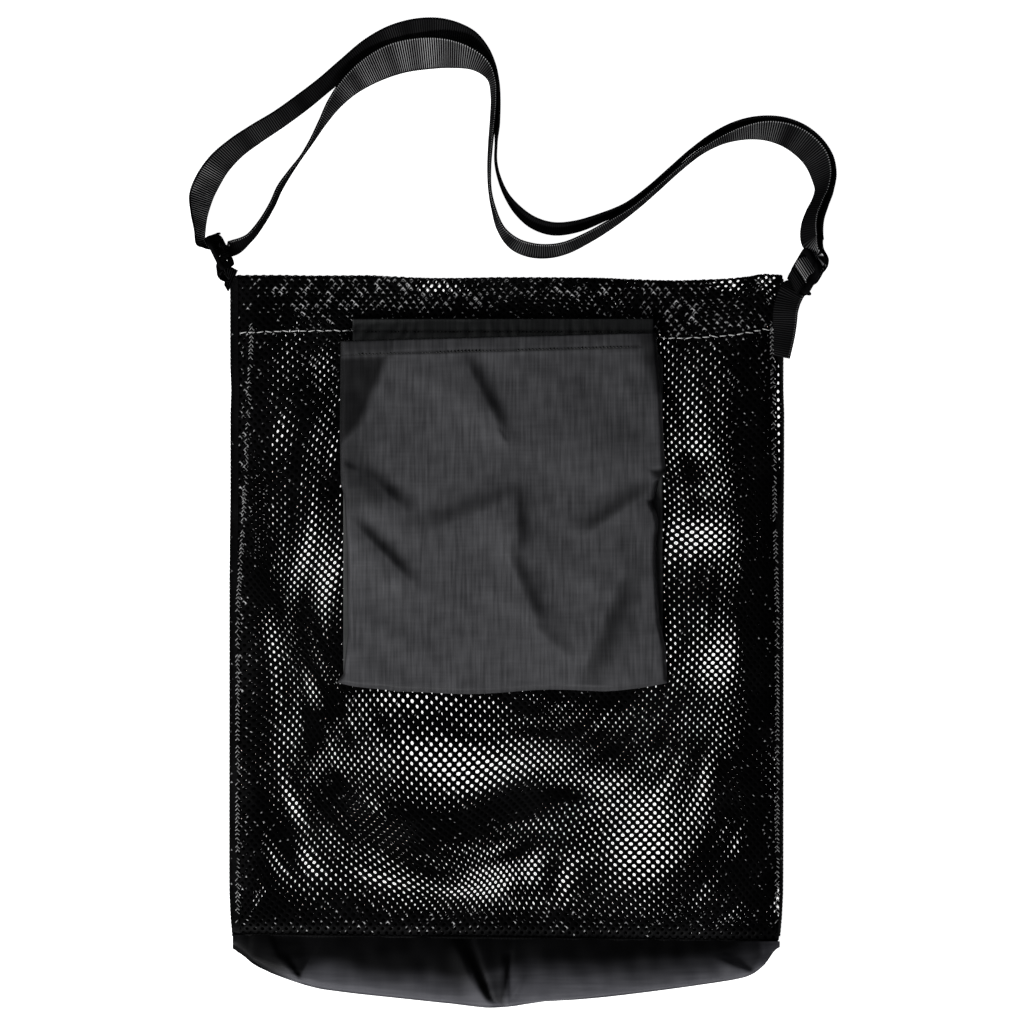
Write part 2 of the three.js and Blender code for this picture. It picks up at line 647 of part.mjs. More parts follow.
function addSlider(name, slider) {
  const mesh = add(name, sliderPlate(), plastic);
  const { along, face } = sliderAxes(slider);
  const sideways = along.clone().cross(face);
  mesh.position.set(slider.x, slider.y, slider.z);
  mesh.quaternion.setFromRotationMatrix(new THREE.Matrix4().makeBasis(sideways, along, face));
  return mesh;
}

// How finely each panel is divided, across and up (or round the base's fold).
const BACK_NET = { across: 7, up: 9, hem: 1 };
const FRONT_NET = { across: 28, up: 26, hem: 3 };
const BASE = { across: 32, round: 12 };
const BACK_LEAF = { across: 14, up: 16 };
const FRONT_LEAF = { across: 20, up: 19 };

const backRows = netRows(BACK_NET.up, BACK_NET.hem);
const frontRows = netRows(FRONT_NET.up, FRONT_NET.hem);
add("mesh_back", netPanel(steps(BACK_NET.across), backRows, () => 0), net);
add("mesh_front", netPanel(sideSteps(FRONT_NET.across), frontRows, frontUnder), net);
add("base_panel", basePanel(BASE.across, BASE.round), nylon);
add("pocket_back", pocketBack(steps(BACK_LEAF.across), steps(BACK_LEAF.up)), nylon);
add("pocket_front", pocketFront(steps(FRONT_LEAF.across), pocketRows(FRONT_LEAF.up)), nylon);
add("shoulder_strap", shoulderStrap(), strapWebbing);
add("strap_tab", strapTab(), strapWebbing);
addSlider("strap_slider", LEFT_SLIDER);
addSlider("strap_ladder", RIGHT_SLIDER);

export default bag;
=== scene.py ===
"""A net foraging bag that lies on its back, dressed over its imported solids. Metres, +Z up."""

import math
from collections import namedtuple

import bpy
import numpy as np
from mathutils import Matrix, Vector
from mathutils.bvhtree import BVHTree


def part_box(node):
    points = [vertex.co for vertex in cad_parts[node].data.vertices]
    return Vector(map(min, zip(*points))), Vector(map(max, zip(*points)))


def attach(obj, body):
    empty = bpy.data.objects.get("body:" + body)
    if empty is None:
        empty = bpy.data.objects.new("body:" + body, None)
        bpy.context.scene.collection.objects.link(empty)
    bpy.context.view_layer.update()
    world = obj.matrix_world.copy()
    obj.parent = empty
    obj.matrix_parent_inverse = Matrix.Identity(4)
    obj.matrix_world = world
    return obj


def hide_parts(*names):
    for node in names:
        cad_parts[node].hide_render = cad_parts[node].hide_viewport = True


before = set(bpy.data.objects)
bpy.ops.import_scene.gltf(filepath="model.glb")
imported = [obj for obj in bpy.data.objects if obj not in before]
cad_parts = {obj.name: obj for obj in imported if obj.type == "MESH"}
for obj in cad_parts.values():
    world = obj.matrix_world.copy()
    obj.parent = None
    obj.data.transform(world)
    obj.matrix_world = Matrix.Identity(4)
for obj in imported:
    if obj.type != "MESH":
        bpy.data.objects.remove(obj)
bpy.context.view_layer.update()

# Net: round holes in staggered rows.
HOLE_STEP = 0.00575
ROW_STEP = 0.00306
HALF_COLUMNS = 40  # columns of holes to each side, a few more than the net needs
HOLE_RADIUS = 0.00125
HOLE_SIDES = 8
TIGHT_HOLE = 0.96  # holes are this much smaller where the nets cover each other
WIDE_HOLE = 1.1
STRAND_DROP = 0.00035  # how far a strand falls from its ridge to the edge of a hole
KNOT_RISE = 0.0001  # strands are thicker where they meet
EDGE_TUCK = 0.0008  # the net ends this far inside its edges, under the seams
HEM_DEPTH = 0.041
HEM_BEND = 0.0006  # radius of the fold at the mouth
BACK_RIDGE = 0.0011  # height of the back net's strands
NET_WARP = 0.0036  # the rows wander this much
WARP_FADE = 0.045

# Seams of the net
SIDE_BAND = 0.006
BAND_WALL = 0.0003
BAND_STEP = 0.001
BAND_CLEAR = 0.0001
BAND_KNIT = 0.00012
KNIT_STEP = 0.003
SEAM_ROLL = 0.0024
SEAM_ROLL_RISE = 0.0013
ROLL_STEP = 0.0012
ROLL_KNIT = 0.00025
ROLL_INSET = 0.0005
ROLL_SHIFT = 0.0008
ROLL_SINK = 0.0006
SEAM_DIP = 0.0058  # the cloth sinks this much into the base seam
NET_DIP_WIDTH = 0.009
BASE_DIP_WIDTH = 0.026
THIN_FRONT = 0.009  # the seam sinks less where the front is lower than this

# Pocket
POCKET_HEM = 0.009
POCKET_BEND = 0.0009
POCKET_STEP = 0.0012
LEAF_STEP = 0.0016
BACK_LEAF_HEM = 0.0085
LEAF_INSET = 0.0015
MOUTH_INSET = 0.0068  # the back leaf is this much narrower again above the front leaf
HEM_WALL = 0.0003
HEM_EDGE = 0.0006
POCKET_RIPPLE = 0.00035
FINE_RIPPLE = 0.00012
POCKET_RIM = 0.0009
RIM_TUCK = 0.0002
HEM_TURNS = 6
HEM_SHARES = (0.25, 0.5, 0.75, 1)
DEEP_FOLD = 0.002  # a fold of this height is darkest on its steep side
DARKEST = 2.33  # brings the darkest line of a steep side to 1

# Base
BASE_COLUMNS = 300
BASE_TURNS = 84
FOLD_BOW = 0.75
BASE_INSET = 0.0003
BASE_GAP = 0.0004
BASE_RIPPLE = 0.00025
BASE_LEAST = 0.002
BASE_END = 0.012  # the creases fade out this close to the sides
BASE_CLEAR = 0.0002
SEAM_DARK = 0.96
SHADE_WANDER = 0.08
SHADE_FADE = 0.024

# Strap
WEBBING_WIDTH = 0.025
WEBBING_WALL = 0.0013
STRAP_CLEAR = 0.00015
RIB_STEP = 0.0016
WAVE_PERIOD = math.pi / 10  # length of one band of a wave texture of scale 1
RIB_RISE = 0.00022
SERRATION = 0.00025
SELVEDGE = 0.92  # the raised ridge beside the edge, as a share of the half width
SERRATED = 0.95  # the band is serrated past this share of the half width
EDGE_GLINT = 0.15

# Sliders
SLIDER_WIDTH = 0.034
SLIDER_LENGTH = 0.025
SLIDER_WALL = 0.0035
SLIDER_BAR = 0.005
SLIDER_CORNER = 0.0028
SLIDER_ROUND = 0.0011

# Stitches, with the radius of each thread
HEM_STITCH = 0.0050
HEM_STITCH_STEP = 0.0062
HEM_SWING = 0.0003
HEM_WANDER = 0.001
HEM_LIFT = 0.0004
HEM_LINE = (-0.192, 0.193)
HEM_THREAD = 0.00042
CHAIN_STEP = 0.0030
CHAIN_REACH = 0.0016
CHAIN_TAILS = (0.0006, 0.0017)
CHAIN_LOW_END = 0.012
CHAIN_HIGH_END = 0.034
CHAIN_LIFT = 0.0005
CHAIN_GAPS = 0.3  # share of the chain's threads that don't show
CHAIN_THREAD = 0.00034
POCKET_THREAD = 0.00045
POCKET_SINK = 0.0001
POCKET_LINE = (0.02, 0.985, 0.0112)  # from, to and step, as shares of the front leaf's width
POCKET_STITCH = 0.008
LEAF_LINE = (-0.106, 0.098, 0.0028)
LEAF_STITCH = 0.002

# Camera and stage
VIEW_WIDTH = 0.7407  # width of the picture where the bag lies
VIEW_MIDDLE = (0.0025, 0.0687, 0.012)
VIEW_DISTANCE = 8
SENSOR = 36
FLOOR_SIZE = 40

UP = np.array((0.0, 0.0, 1.0))

Fold = namedtuple("Fold", "x y turn reach gentle steep height")
Facet = namedtuple("Facet", "corners soft shade drop")
Patch = namedtuple("Patch", "x y turn reach width open")
EdgeRow = namedtuple("EdgeRow", "at measure")
Station = namedtuple("Station", "x y lean lift", defaults=[0])
Slider = namedtuple("Slider", "x y z turn dip lean")
Way = namedtuple("Way", "along off")
Hem = namedtuple("Hem", "groove depth pucker wander wave seed rise fade")
NOT_LENGTHS = {"turn", "lean", "dip", "open", "shade"}  # angles in degrees and shares of 1


def metres(value):
    """Metres from millimetres, also for a row of numbers or of rows."""
    return tuple(metres(part) for part in value) if isinstance(value, tuple) else value / 1000


def table(kind, *rows):
    """Rows of one kind, whose lengths are written in millimetres."""
    lengths = [field not in NOT_LENGTHS for field in kind._fields]
    return [kind(*(metres(v) if length else v for v, length in zip(row, lengths))) for row in rows]


# Where the holes of the two nets line up and the floor shows through.
OPEN_PATCHES = table(
    Patch,
    (-124, 20, 88, 36, 11, 1), (-144, 41, 80, 36, 10, 0.85), (-163, 40, 80, 26, 9, 0.35),
    (-166, 131, 80, 17, 7, 0.5), (-142, 176, 60, 18, 10, 0.45), (-130, 112, 90, 18, 6, 0.6),
    (-172, -24, -80, 28, 11, 0.75), (-145, -62, -75, 17, 7, 0.8), (-160, -94, 90, 15, 8, 0.35),
    (-156, -147, -55, 20, 7, 0.9), (-158, -78, 80, 25, 9, 0.4), (-139, -191, -60, 17, 7, 0.75),
    (-167, -184, -52, 24, 6, 0.6), (-129, -172, -45, 14, 9, 0.55), (-112, -85, 10, 22, 10, 0.55),
    (-136, -118, 60, 18, 9, 0.55), (-71, -70, 0, 51, 8, 0.65), (-52, -98, 0, 28, 8, 0.4),
    (-26, -111, -4, 41, 16, 1), (31, -113, -12, 24, 8, 0.4), (24, -80, 3, 48, 7, 0.35),
    (41, -129, 5, 32, 6, 0.5), (104, -112, 0, 14, 8, 0.5), (-6, -177, 15, 28, 6, 0.5),
    (10, -221, 8, 30, 6, 0.5), (-97, -109, 8, 30, 11, 0.4), (-92, -140, -45, 11, 7, 0.7),
    (-90, -197, -4, 22, 6, 0.95), (-100, -183, -15, 25, 9, 0.55), (-10, -204, 14, 32, 14, 1),
    (-34, -197, 22, 28, 10, 0.65), (26, -196, 78, 14, 10, 1), (49, -202, 68, 14, 6, 0.95),
    (119, 112, 90, 16, 6, 0.5), (97, -168, 76, 40, 25, 1), (68, -140, -60, 22, 13, 0.45),
    (55, -161, 0, 20, 12, 0.35), (128, -88, 0, 38, 14, 0.3), (141, -136, 72, 28, 7, 0.65),
    (128, -151, 70, 18, 8, 0.5), (158, -41, 88, 20, 7, 0.6), (131, 155, -66, 42, 10, 0.5),
    (138, 121, -20, 17, 8, 0.55), (136, 88, 0, 18, 7, 0.4), (152, 94, -80, 19, 6, 0.35),
    (135, 51, 0, 20, 18, 1), (119, -28, 90, 25, 6, 0.5), (147, -44, 88, 26, 12, 1),
    (136, -206, 45, 14, 6, 0.5), (162, -176, 80, 7, 4, 0.45), (196, 141, 90, 36, 4, 0.95),
    (197, -213, 90, 14, 4, 0.9), (120, 176, -70, 16, 6, 0.35), (156, 233, 4, 36, 7, 0.95),
    (187, 232, 90, 16, 9, 0.95), (-55, 231, 0, 16, 6, 0.8), (101, 233, 0, 13, 6, 0.7),
    (81, -219, 10, 29, 7, 0.4), (167, -223, 20, 20, 8, 0.25), (0, -164, 8, 60, 15, 0.25),
    (-100, -112, 2, 62, 22, 0.4), (10, -104, 4, 62, 18, 0.25), (80, -130, -50, 46, 16, 0.28),
    (152, 60, 88, 110, 6, 0.18), (-166, -120, -66, 85, 16, 0.15), (-50, -196, 5, 95, 16, 0.32),
    (-150, 60, 84, 90, 14, 0.25),
)

# Where the nets hide each other's holes best.
DARK_PATCHES = table(
    Patch,
    (180, -20, 90, 280, 13, 0.9), (-185, 0, 90, 300, 8, 0.7), (0, -233, 1, 260, 10, 0.8),
    (-127, 190, 90, 30, 10, 0.7), (124, 190, 90, 40, 8, 0.7), (-30, -140, 0, 50, 10, 0.7),
    (20, -92, 0, 60, 4, 0.4), (133, 6, 0, 34, 10, 0.5), (12, -153, 5, 24, 9, 0.8),
    (18, -180, 10, 14, 5, 0.8), (71, -186, 80, 12, 8, 0.5), (40, -192, 70, 12, 5, 0.7),
    (124, -190, 40, 30, 10, 0.85), (82, -214, 30, 22, 8, 0.8), (165, 150, 85, 80, 10, 0.6),
)

# Where the strands of the front net catch the light: painted highlights on them.
LIT_PATCHES = table(
    Patch,
    (0, 228, 0, 260, 24, 0.55), (130, 206, 0, 50, 12, 0.5), (-105, 228, 5, 40, 14, 0.9),
    (-63, 226, -10, 26, 12, 0.55), (-150, 222, -40, 34, 12, 0.7), (-10, 229, 10, 28, 11, 0.55),
    (52, 229, -6, 30, 10, 0.5), (108, 226, 80, 20, 10, 0.6), (140, 212, -20, 40, 12, 0.8),
    (186, 190, 90, 45, 7, 0.5), (-142, 172, 70, 26, 14, 0.6), (-176, 130, 84, 80, 12, 0.25),
    (-191, 110, 88, 85, 4.5, 0.8), (-195, -55, 87, 90, 4.5, 0.8), (-194, -175, 92, 60, 4.5, 0.7),
    (-165, -110, -66, 90, 20, 0.2), (190, -130, 88, 70, 4, 0.5), (-60, -229, 2, 110, 8, 0.5),
    (90, -228, 2, 100, 8, 0.5), (150, 130, 84, 90, 18, 0.2),
)

# Finer folds than the solids have.
POCKET_FOLDS = table(
    Fold,
    (-19, 152, -63, 30, 24, 6.6, 2.2), (-5, 124, -60, 6, 5, 1.4, 0.8), (-118, 101, -25, 10, 10, 3.4, 1.4),
    (-92, 84, -42, 22, 20, 7.2, 1.8), (-92, 39, -46, 30, 20, 6, 2.1), (4, 62, -88, 24, 24, 7.5, 2.1),
    (8.5, 14, -67, 30, 24, 8.5, 2.2), (29, -25, -42, 18, 20, 8, 1.2), (-30, 64, 20, 34, 24, 11, 1.6),
    (78, 66, 34, 28, 24, 9, 2), (66, -12, -112, 46, 26, 13, 2), (46, 128, -38, 44, 28, 24, 0.6),
)
BASE_CREASES = table(
    Fold,
    (-24, -268, -64, 26, 7, 2.8, 3), (-2, -272, -88, 20, 5, 2.6, 2.6), (4, -280, 62, 12, 3, 3, 2.2),
    (-157, -262, -55, 12, 5, 2, 2), (166, -261, -22, 16, 5, 2.2, 1.8),
)

# Parts of the cloth that fold away from the light, sunk a little and darkened with painted shade.
POCKET_FACETS = table(
    Facet,
    (((-128, 181), (-86, 183), (-106.5, 134), (-128, 106)), 8, 0.84, 0.4),
    (((-130, 200), (-119, 200), (-118, 80), (-130, 80)), 7, 0.6, 0),
    (((-130, 200), (-80, 200), (-84, 181), (-130, 181)), 6, 0.6, 0),
    (((-130, 205), (125, 205), (125, 185), (-130, 185)), 3, 0.3, 0),
    (((-136, 130), (-104, 122), (-88, 76), (-136, 66)), 22, 0.5, 0),
    (((103, 99), (122, 102), (122, 88), (108, 91)), 4, 0.9, 1.2),
    (((101, 77), (122, 80), (122, 67), (104, 70)), 4, 0.9, 1.2),
    (((106, 52), (122, 56), (122, 0), (107, 10)), 5, 0.75, 0.8),
    (((90, 200), (122, 200), (122, 150), (106, 156)), 8, 0.7, 0.4),
)
BASE_FACETS = table(
    Facet,
    (((-172, -238), (-134, -238), (-140.5, -252), (-151.6, -269), (-166, -252)), 4, 0.93, 1.2),
    (((-36, -238), (4, -238), (3, -264), (-4, -288), (-14, -284)), 5, 0.74, 0.6),
    (((-40, -238), (-27, -238), (-15.5, -268), (-10, -286), (-15.5, -284), (-26.5, -268)), 4, 0.96, 1.4),
    (((-4, -250), (3, -250), (1, -266), (-4, -286)), 4, 0.95, 1),
    (((156, -250), (182, -238), (184, -252), (176, -264)), 5, 0.6, 0.8),
)

# Outline of the pocket's front leaf where it draws in: place along an edge, and how far in.
LEFT_EDGE = table(
    EdgeRow,
    (-60, -1), (-52, 3), (-20, 6.2), (40, 5.8), (78, 4), (90, 1.2), (130, 0.5), (200, 1.2),
)
RIGHT_EDGE = table(
    EdgeRow,
    (-60, -0.5), (-30, 0.8), (-10, 5.2), (35, 7.8), (62, 6.2), (77, 9.6), (91, 6.6), (97, 0.5),
    (110, 1.8), (160, 4.2), (200, 7.8),
)
BOTTOM_EDGE = table(
    EdgeRow,
    (-123, 7), (-110, 3), (-80, -2.4), (0, -3), (70, -2.8), (100, -0.6), (115, 1),
)

# The bag's edges beside those of its solids: place along an edge, and how far out.
LEFT_BULGE = table(
    EdgeRow,
    (-250, 2.4), (20, 2.2), (50, 1.9), (80, 1.5), (140, 1.5), (157, 0.9), (175, 1.6), (240, 1.7),
)
RIGHT_BULGE = table(
    EdgeRow,
    (-250, -1), (50, -0.8), (100, -0.4), (140, -0.3), (157, -0.9), (240, -0.8),
)
MOUTH_BULGE = table(
    EdgeRow,
    (-200, 1.2), (-165, 1.3), (-143, 0.9), (-100, 1.1), (-78, 0), (-57, -0.9), (-35, -0.9), (-13, -0.2),
    (117, -0.2), (160, 0), (182, 1.1), (200, 1.2),
)
BASE_BULGE = table(
    EdgeRow,
    (-201, 3), (-196, 4.4), (-190, 3), (-175, 1.8), (-150, 1.4), (-125, 1), (-40, 0.8), (-17, 1.6),
    (5, 0.9), (26, -0.3), (48, 0.5), (70, 0.9), (156, 0.6), (178, 0.9), (186, -0.5), (192, -3), (199, -3),
)

# Width of the right side seam, which is narrow where holes show beside it.
RIGHT_BAND = table(
    EdgeRow,
    (-222, 2.5), (-195, 2.5), (-180, 6), (70, 6), (85, 2.2), (170, 2.2), (185, 6),
)

# How far the painted shade under the base seam reaches down: place along the seam, and depth.
SEAM_SHADE = table(
    EdgeRow,
    (-185, 23), (-158, 17), (-129, 11), (-93, 17), (-57, 18), (-35, 26), (-20, 22), (15.5, 13),
    (44.5, 13), (80.7, 14), (160, 5), (178, -6), (196, -22),
)

# The strap's way, as the solids have it. Lean is the angle of its face off the floor, lift its height.
INNER_STRAND = table(
    Station,
    (-205.5, 258.8, 66, 4), (-198.2, 260, 66, 3.4), (-187.6, 266.8, 79, 2), (-178.3, 278.5, 82, 1),
    (-171, 291, 83), (-165.5, 303, 83), (-158, 314.5, 86), (-150, 325.5, 89),
    (-142.5, 337, 86), (-135, 350, 80), (-126, 364.5, 68), (-114, 378, 54, 0.5),
    (-99, 389, 37, 1), (-81.5, 397, 21, 2), (-63, 400.5, 19, 2), (-43.5, 400.5, 34, 1.5),
    (-28, 397, 53, 1), (-18, 391, 65, 0.5), (-12, 382, 78), (-10.5, 369, 81), (-11.3, 353, 82),
    (-13, 335, 84), (-14, 317, 86), (-13.5, 302, 87), (-11, 289, 85), (-5.5, 273.5, 79),
    (4, 263, 70), (15.5, 258.3, 67), (28, 257.3, 68), (41, 259.7, 71), (57, 267, 74),
    (74, 277, 77), (91, 288.7, 82), (107, 302.3, 83), (123, 316.5, 84), (138.5, 329, 83),
    (154.5, 338, 78), (170.5, 343.2, 68), (186.5, 344.8, 56, 0.5), (201, 341.8, 46, 1),
    (213, 335, 40, 1.5), (222.3, 325, 41, 1.5), (226.5, 313.5, 52, 1.5), (227, 303.5, 67, 2),
    (223.8, 294.5, 73, 3), (219.5, 285, 70, 4.5), (217.2, 275.5, 64, 6), (217.8, 265.5, 60, 7.5),
)
OUTER_STRAND = table(
    Station,
    (-223.4, 271.8, 74, 1.5), (-224, 283.8, 63), (-222.5, 297, 47), (-217.5, 308.5, 44),
    (-209.5, 320.5, 48), (-197.5, 332, 54), (-182.5, 342.5, 57), (-166, 353, 60),
    (-149, 365.3, 61), (-133, 378, 63), (-117.5, 391, 61), (-100.5, 404, 55),
    (-84, 412.5, 50), (-67, 417, 48), (-51, 417.7, 49), (-38, 415.3, 54), (-27, 411, 63),
    (-18.5, 403.5, 73), (-12, 393, 81), (-8.3, 380, 85), (-7.8, 365, 83), (-8.2, 350, 83),
    (-9, 335, 88), (-9.2, 322, 88), (-6.8, 310.5, 87), (-1.5, 298, 84), (7, 286.7, 77),
    (18, 278, 72), (32, 273.6, 70), (48, 275, 72), (67, 281.5, 77), (85, 290, 82),
    (101, 302, 84), (117, 316.3, 85), (133, 330.3, 85), (149.5, 341.5, 82), (166, 348, 75),
    (182, 349.6, 65), (197.5, 347, 54), (210.5, 341, 47), (220.5, 332.5, 45),
    (227.3, 322.5, 48), (230.5, 311, 58, 0.5), (230.2, 300.5, 70, 1.5), (227, 290.5, 73, 3),
    (223.2, 281, 69, 4.5), (221.3, 271.5, 63, 6), (221.8, 262.8, 60, 7),
)
LEFT_SLIDER, RIGHT_SLIDER = table(
    Slider,
    (-208.2, 256.5, 17.2, -64, 0, 105), (215, 243, 18, 240, 20, 59),
)

# The webbing's way through a slider: how far along the strap, and how far off the slider's middle.
SEWN_LOOP = table(
    Way,
    (-5.6, 1.2), (-6.2, -1.6), (-8.2, -3.1), (-10.5, -3.3), (-12.8, -3.1), (-13.3, -1.4), (-13.3, 1.4),
    (-12.4, 2.8),
)
PASSING_STRAND = table(
    Way,
    (-12.6, -9.8), (-9.2, -7.2), (-6.4, -4.4), (-4.7, -1.6), (-4, 0.8), (-2.6, 2.8), (0, 3.2), (2.6, 2.8),
    (4.4, 0.8), (5.8, -1.4), (8, -3.6), (10.5, -4.6), (13.5, -5.8),
)
TURN_ROUND_BAR = table(
    Way,
    (-14, -3.2), (-10.5, -3.1), (-8, -2.9), (-5.8, -1.4), (-4.4, 0.8), (-2.5, 2.7), (0, 3.1), (2.5, 2.8),
    (3.7, 1), (3.9, -1.6), (3.1, -4.1), (0.8, -5.4), (-3, -5.7), (-8, -5.6), (-14, -5.8),
)
TAB_LOOP = table(
    Way,
    (15, 2.7), (12.7, 3.2), (10.4, 3.3), (7.6, 3), (6, 1.6), (6, -1.6), (7.6, -3), (10.4, -3.3), (13, -3),
)
LEFT_SEWN_END = table(
    Station,
    (-205.2, 241, 114, 2.4), (-202.2, 238.4, 122, 1.6), (-199.4, 235.8, 128, 1),
)
TAB_ALONG_SEAM = table(
    Station,
    (205.8, 229.2, 42, 8), (202.8, 223.5, 43, 7.8), (200.3, 215, 44, 8.5), (199.5, 205, 46, 8.5),
    (198.6, 195.5, 50, 7.5), (197.5, 187, 55, 6.5), (196.8, 180.8, 60, 5.5),
)


# Shared tools
def unit(value):
    return np.clip(value, 0, 1)


def mix(a, b, share):
    return a + (b - a) * share


def eased(value):
    value = unit(value)
    return value * value * (3 - 2 * value)


def ripples(x, y, length, seed, count=9):
    """Smooth waves of about one wavelength in many directions, about 1 high."""
    random = np.random.default_rng(seed)
    total = np.zeros_like(x)
    for _ in range(count):
        turn, phase = random.uniform(0, 2 * np.pi, 2)
        wave = 2 * np.pi / (length * random.uniform(0.7, 1.5))
        total += np.sin((x * np.cos(turn) + y * np.sin(turn)) * wave + phase)
    return total / np.sqrt(count / 2)


def along_across(row, x, y):
    """Places along and across a fold's or a patch's line."""
    turn = math.radians(row.turn)
    along = (x - row.x) * math.cos(turn) + (y - row.y) * math.sin(turn)
    across = (y - row.y) * math.cos(turn) - (x - row.x) * math.sin(turn)
    return along, across


def folds_at(folds, x, y):
    """Height of the folds, each gentle on one side of its line and steep on the other."""
    total = np.zeros_like(x)
    for fold in folds:
        along, across = along_across(fold, x, y)
        width = np.where(across > 0, fold.steep, fold.gentle)
        total += fold.height * np.exp(-((across / width) ** 2) - (along / fold.reach) ** 4)
    return total


def fold_shade(folds, x, y):
    """Painted shade of the folds, 1 on their steep sides."""
    total = np.zeros_like(x)
    for fold in folds:
        along, across = along_across(fold, x, y)
        slope = np.maximum(across, 0) / fold.steep
        dark = DARKEST * unit(fold.height / DEEP_FOLD)
        total = np.maximum(total, dark * slope * np.exp(-(slope**2) - (along / fold.reach) ** 4))
    return total


def patches_at(patches, x, y):
    """Together how much of 1 the patches reach, each one fading out softly."""
    rest = np.ones_like(x)
    for patch in patches:
        along, across = along_across(patch, x, y)
        rest *= 1 - patch.open * np.exp(-((across / patch.width) ** 2) - (along / patch.reach) ** 2)
    return 1 - rest


def inside_facet(facet, x, y):
    """1 inside a facet's corners, 0 outside them."""
    depth = np.full_like(x, np.inf)
    corners = facet.corners
    for (ax, ay), (bx, by) in zip(corners, corners[1:] + corners[:1]):
        length = math.hypot(bx - ax, by - ay)
        depth = np.minimum(depth, ((y - ay) * (bx - ax) - (x - ax) * (by - ay)) / -length)
    return eased(depth / facet.soft + 0.5)


def with_facets(facets, x, y, z, shadow, where=1):
    """Sinks the facets of a cloth and darkens them with painted shade."""
    for facet in facets:
        inside = where * inside_facet(facet, x, y)
        z = z - facet.drop * inside
        shadow = np.maximum(shadow, facet.shade * inside)
    return z, shadow


def measure_at(rows, at):
    places, measures = zip(*rows)
    return np.interp(at, places, measures)


def node_points(node):
    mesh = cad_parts[node].data
    points = np.empty(len(mesh.vertices) * 3)
    mesh.vertices.foreach_get("co", points)
    return points.reshape(-1, 3)


def edge_line(node, axis, side, depth):
    """A node's edge on one side, as a function of the place along it."""
    points = node_points(node)
    reach = side * points[:, axis]
    near = points[reach > reach.max() - depth]
    along, first = np.unique(near[:, 1 - axis].round(5), return_index=True)
    return lambda at: np.interp(at, along, near[first, axis])


def lowest_line(node):
    """The lowest y of a node's points at each of its columns."""
    points = node_points(node)
    columns = np.unique(points[:, 0].round(4))
    lowest = [points[abs(points[:, 0] - x) < 0.0001, 1].min() for x in columns]
    return lambda at: np.interp(at, columns, lowest)


def heights(node, x, y, from_above=True):
    """Height of a node's upper or lower face at each place, and nan where it has none."""
    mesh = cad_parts[node].data
    tree = BVHTree.FromPolygons([v.co for v in mesh.vertices], [p.vertices for p in mesh.polygons])
    start, way = (1, (0, 0, -1)) if from_above else (-1, (0, 0, 1))
    found = np.full(x.shape, np.nan)
    for k in range(x.size):
        hit = tree.ray_cast((x.flat[k], y.flat[k], start), way)[0]
        if hit:
            found.flat[k] = hit.z
    return found


def around(grid):
    padded = np.pad(grid, 1, mode="edge")
    return np.stack([padded[1:-1, :-2], padded[1:-1, 2:], padded[:-2, 1:-1], padded[2:, 1:-1]])


def filled(grid):
    """Empty places take the mean of their neighbours, from the edges inwards."""
    while np.isnan(grid).any():
        near = around(grid)
        count = (~np.isnan(near)).sum(axis=0)
        mean = np.nansum(near, axis=0) / np.maximum(count, 1)
        grid = np.where(np.isnan(grid) & (count > 0), mean, grid)
    return grid


def blurred(grid, passes):
    for _ in range(passes):
        grid = 0.5 * grid + 0.5 * around(grid).mean(axis=0)
    return grid


def height_field(node, step, passes):
    """A node's upper face as a smooth function of the place."""
    low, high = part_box(node)
    across = np.arange(low[0], high[0] + step, step)
    up = np.arange(low[1], high[1] + step, step)
    x, y = np.meshgrid(across, up)
    grid = blurred(filled(heights(node, x, y)), passes)

    def read(x, y):
        i = np.clip((x - across[0]) / step, 0, len(across) - 1.001)
        j = np.clip((y - up[0]) / step, 0, len(up) - 1.001)
        column, row = i.astype(int), j.astype(int)
        left = mix(grid[row, column], grid[row + 1, column], j - row)
        right = mix(grid[row, column + 1], grid[row + 1, column + 1], j - row)
        return mix(left, right, i - column)

    return read


def crossed(rows, columns):
    """Two grids with the values of the rows and of the columns."""
    return np.meshgrid(rows, columns, indexing="ij")


def grid_faces(rows, columns, closed=False):
    """Quads of a grid of points, row by row. A closed grid's last column joins its first."""
    row, column = np.meshgrid(np.arange(rows - 1), np.arange(columns if closed else columns - 1))
    a = (row * columns + column).ravel()
    b = (row * columns + (column + 1) % columns).ravel()
    return np.stack([a, b, b + columns, a + columns], axis=1)


def tube_faces(rows, columns, start=0):
    """Faces of a tube of points, row by row, with both its ends closed."""
    first = start + np.arange(columns)
    last = first + (rows - 1) * columns
    sides = grid_faces(rows, columns, closed=True) + start
    return [*sides.tolist(), first[::-1].tolist(), last.tolist()]


def linked(name, data):
    obj = bpy.data.objects.new(name, data)
    bpy.context.scene.collection.objects.link(obj)
    return obj


def piece(name, points, faces, material):
    mesh = bpy.data.meshes.new(name)
    mesh.from_pydata(np.asarray(points).reshape(-1, 3).tolist(), [], [list(face) for face in faces])
    mesh.shade_smooth()
    mesh.materials.append(material)
    obj = linked(name, mesh)
    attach(obj, "root")
    return obj


def point_values(obj, name, values, kind="FLOAT", field="value"):
    """Stores a number or a vector for each point, which a material can read."""
    attribute = obj.data.attributes.new(name, kind, "POINT")
    attribute.data.foreach_set(field, np.asarray(values, dtype=np.float32).ravel())


# Materials
MIX_SHARE, MIX_COLOURS, MIX_RESULT = 0, (6, 7), 2  # places of a Mix node's sockets for colours


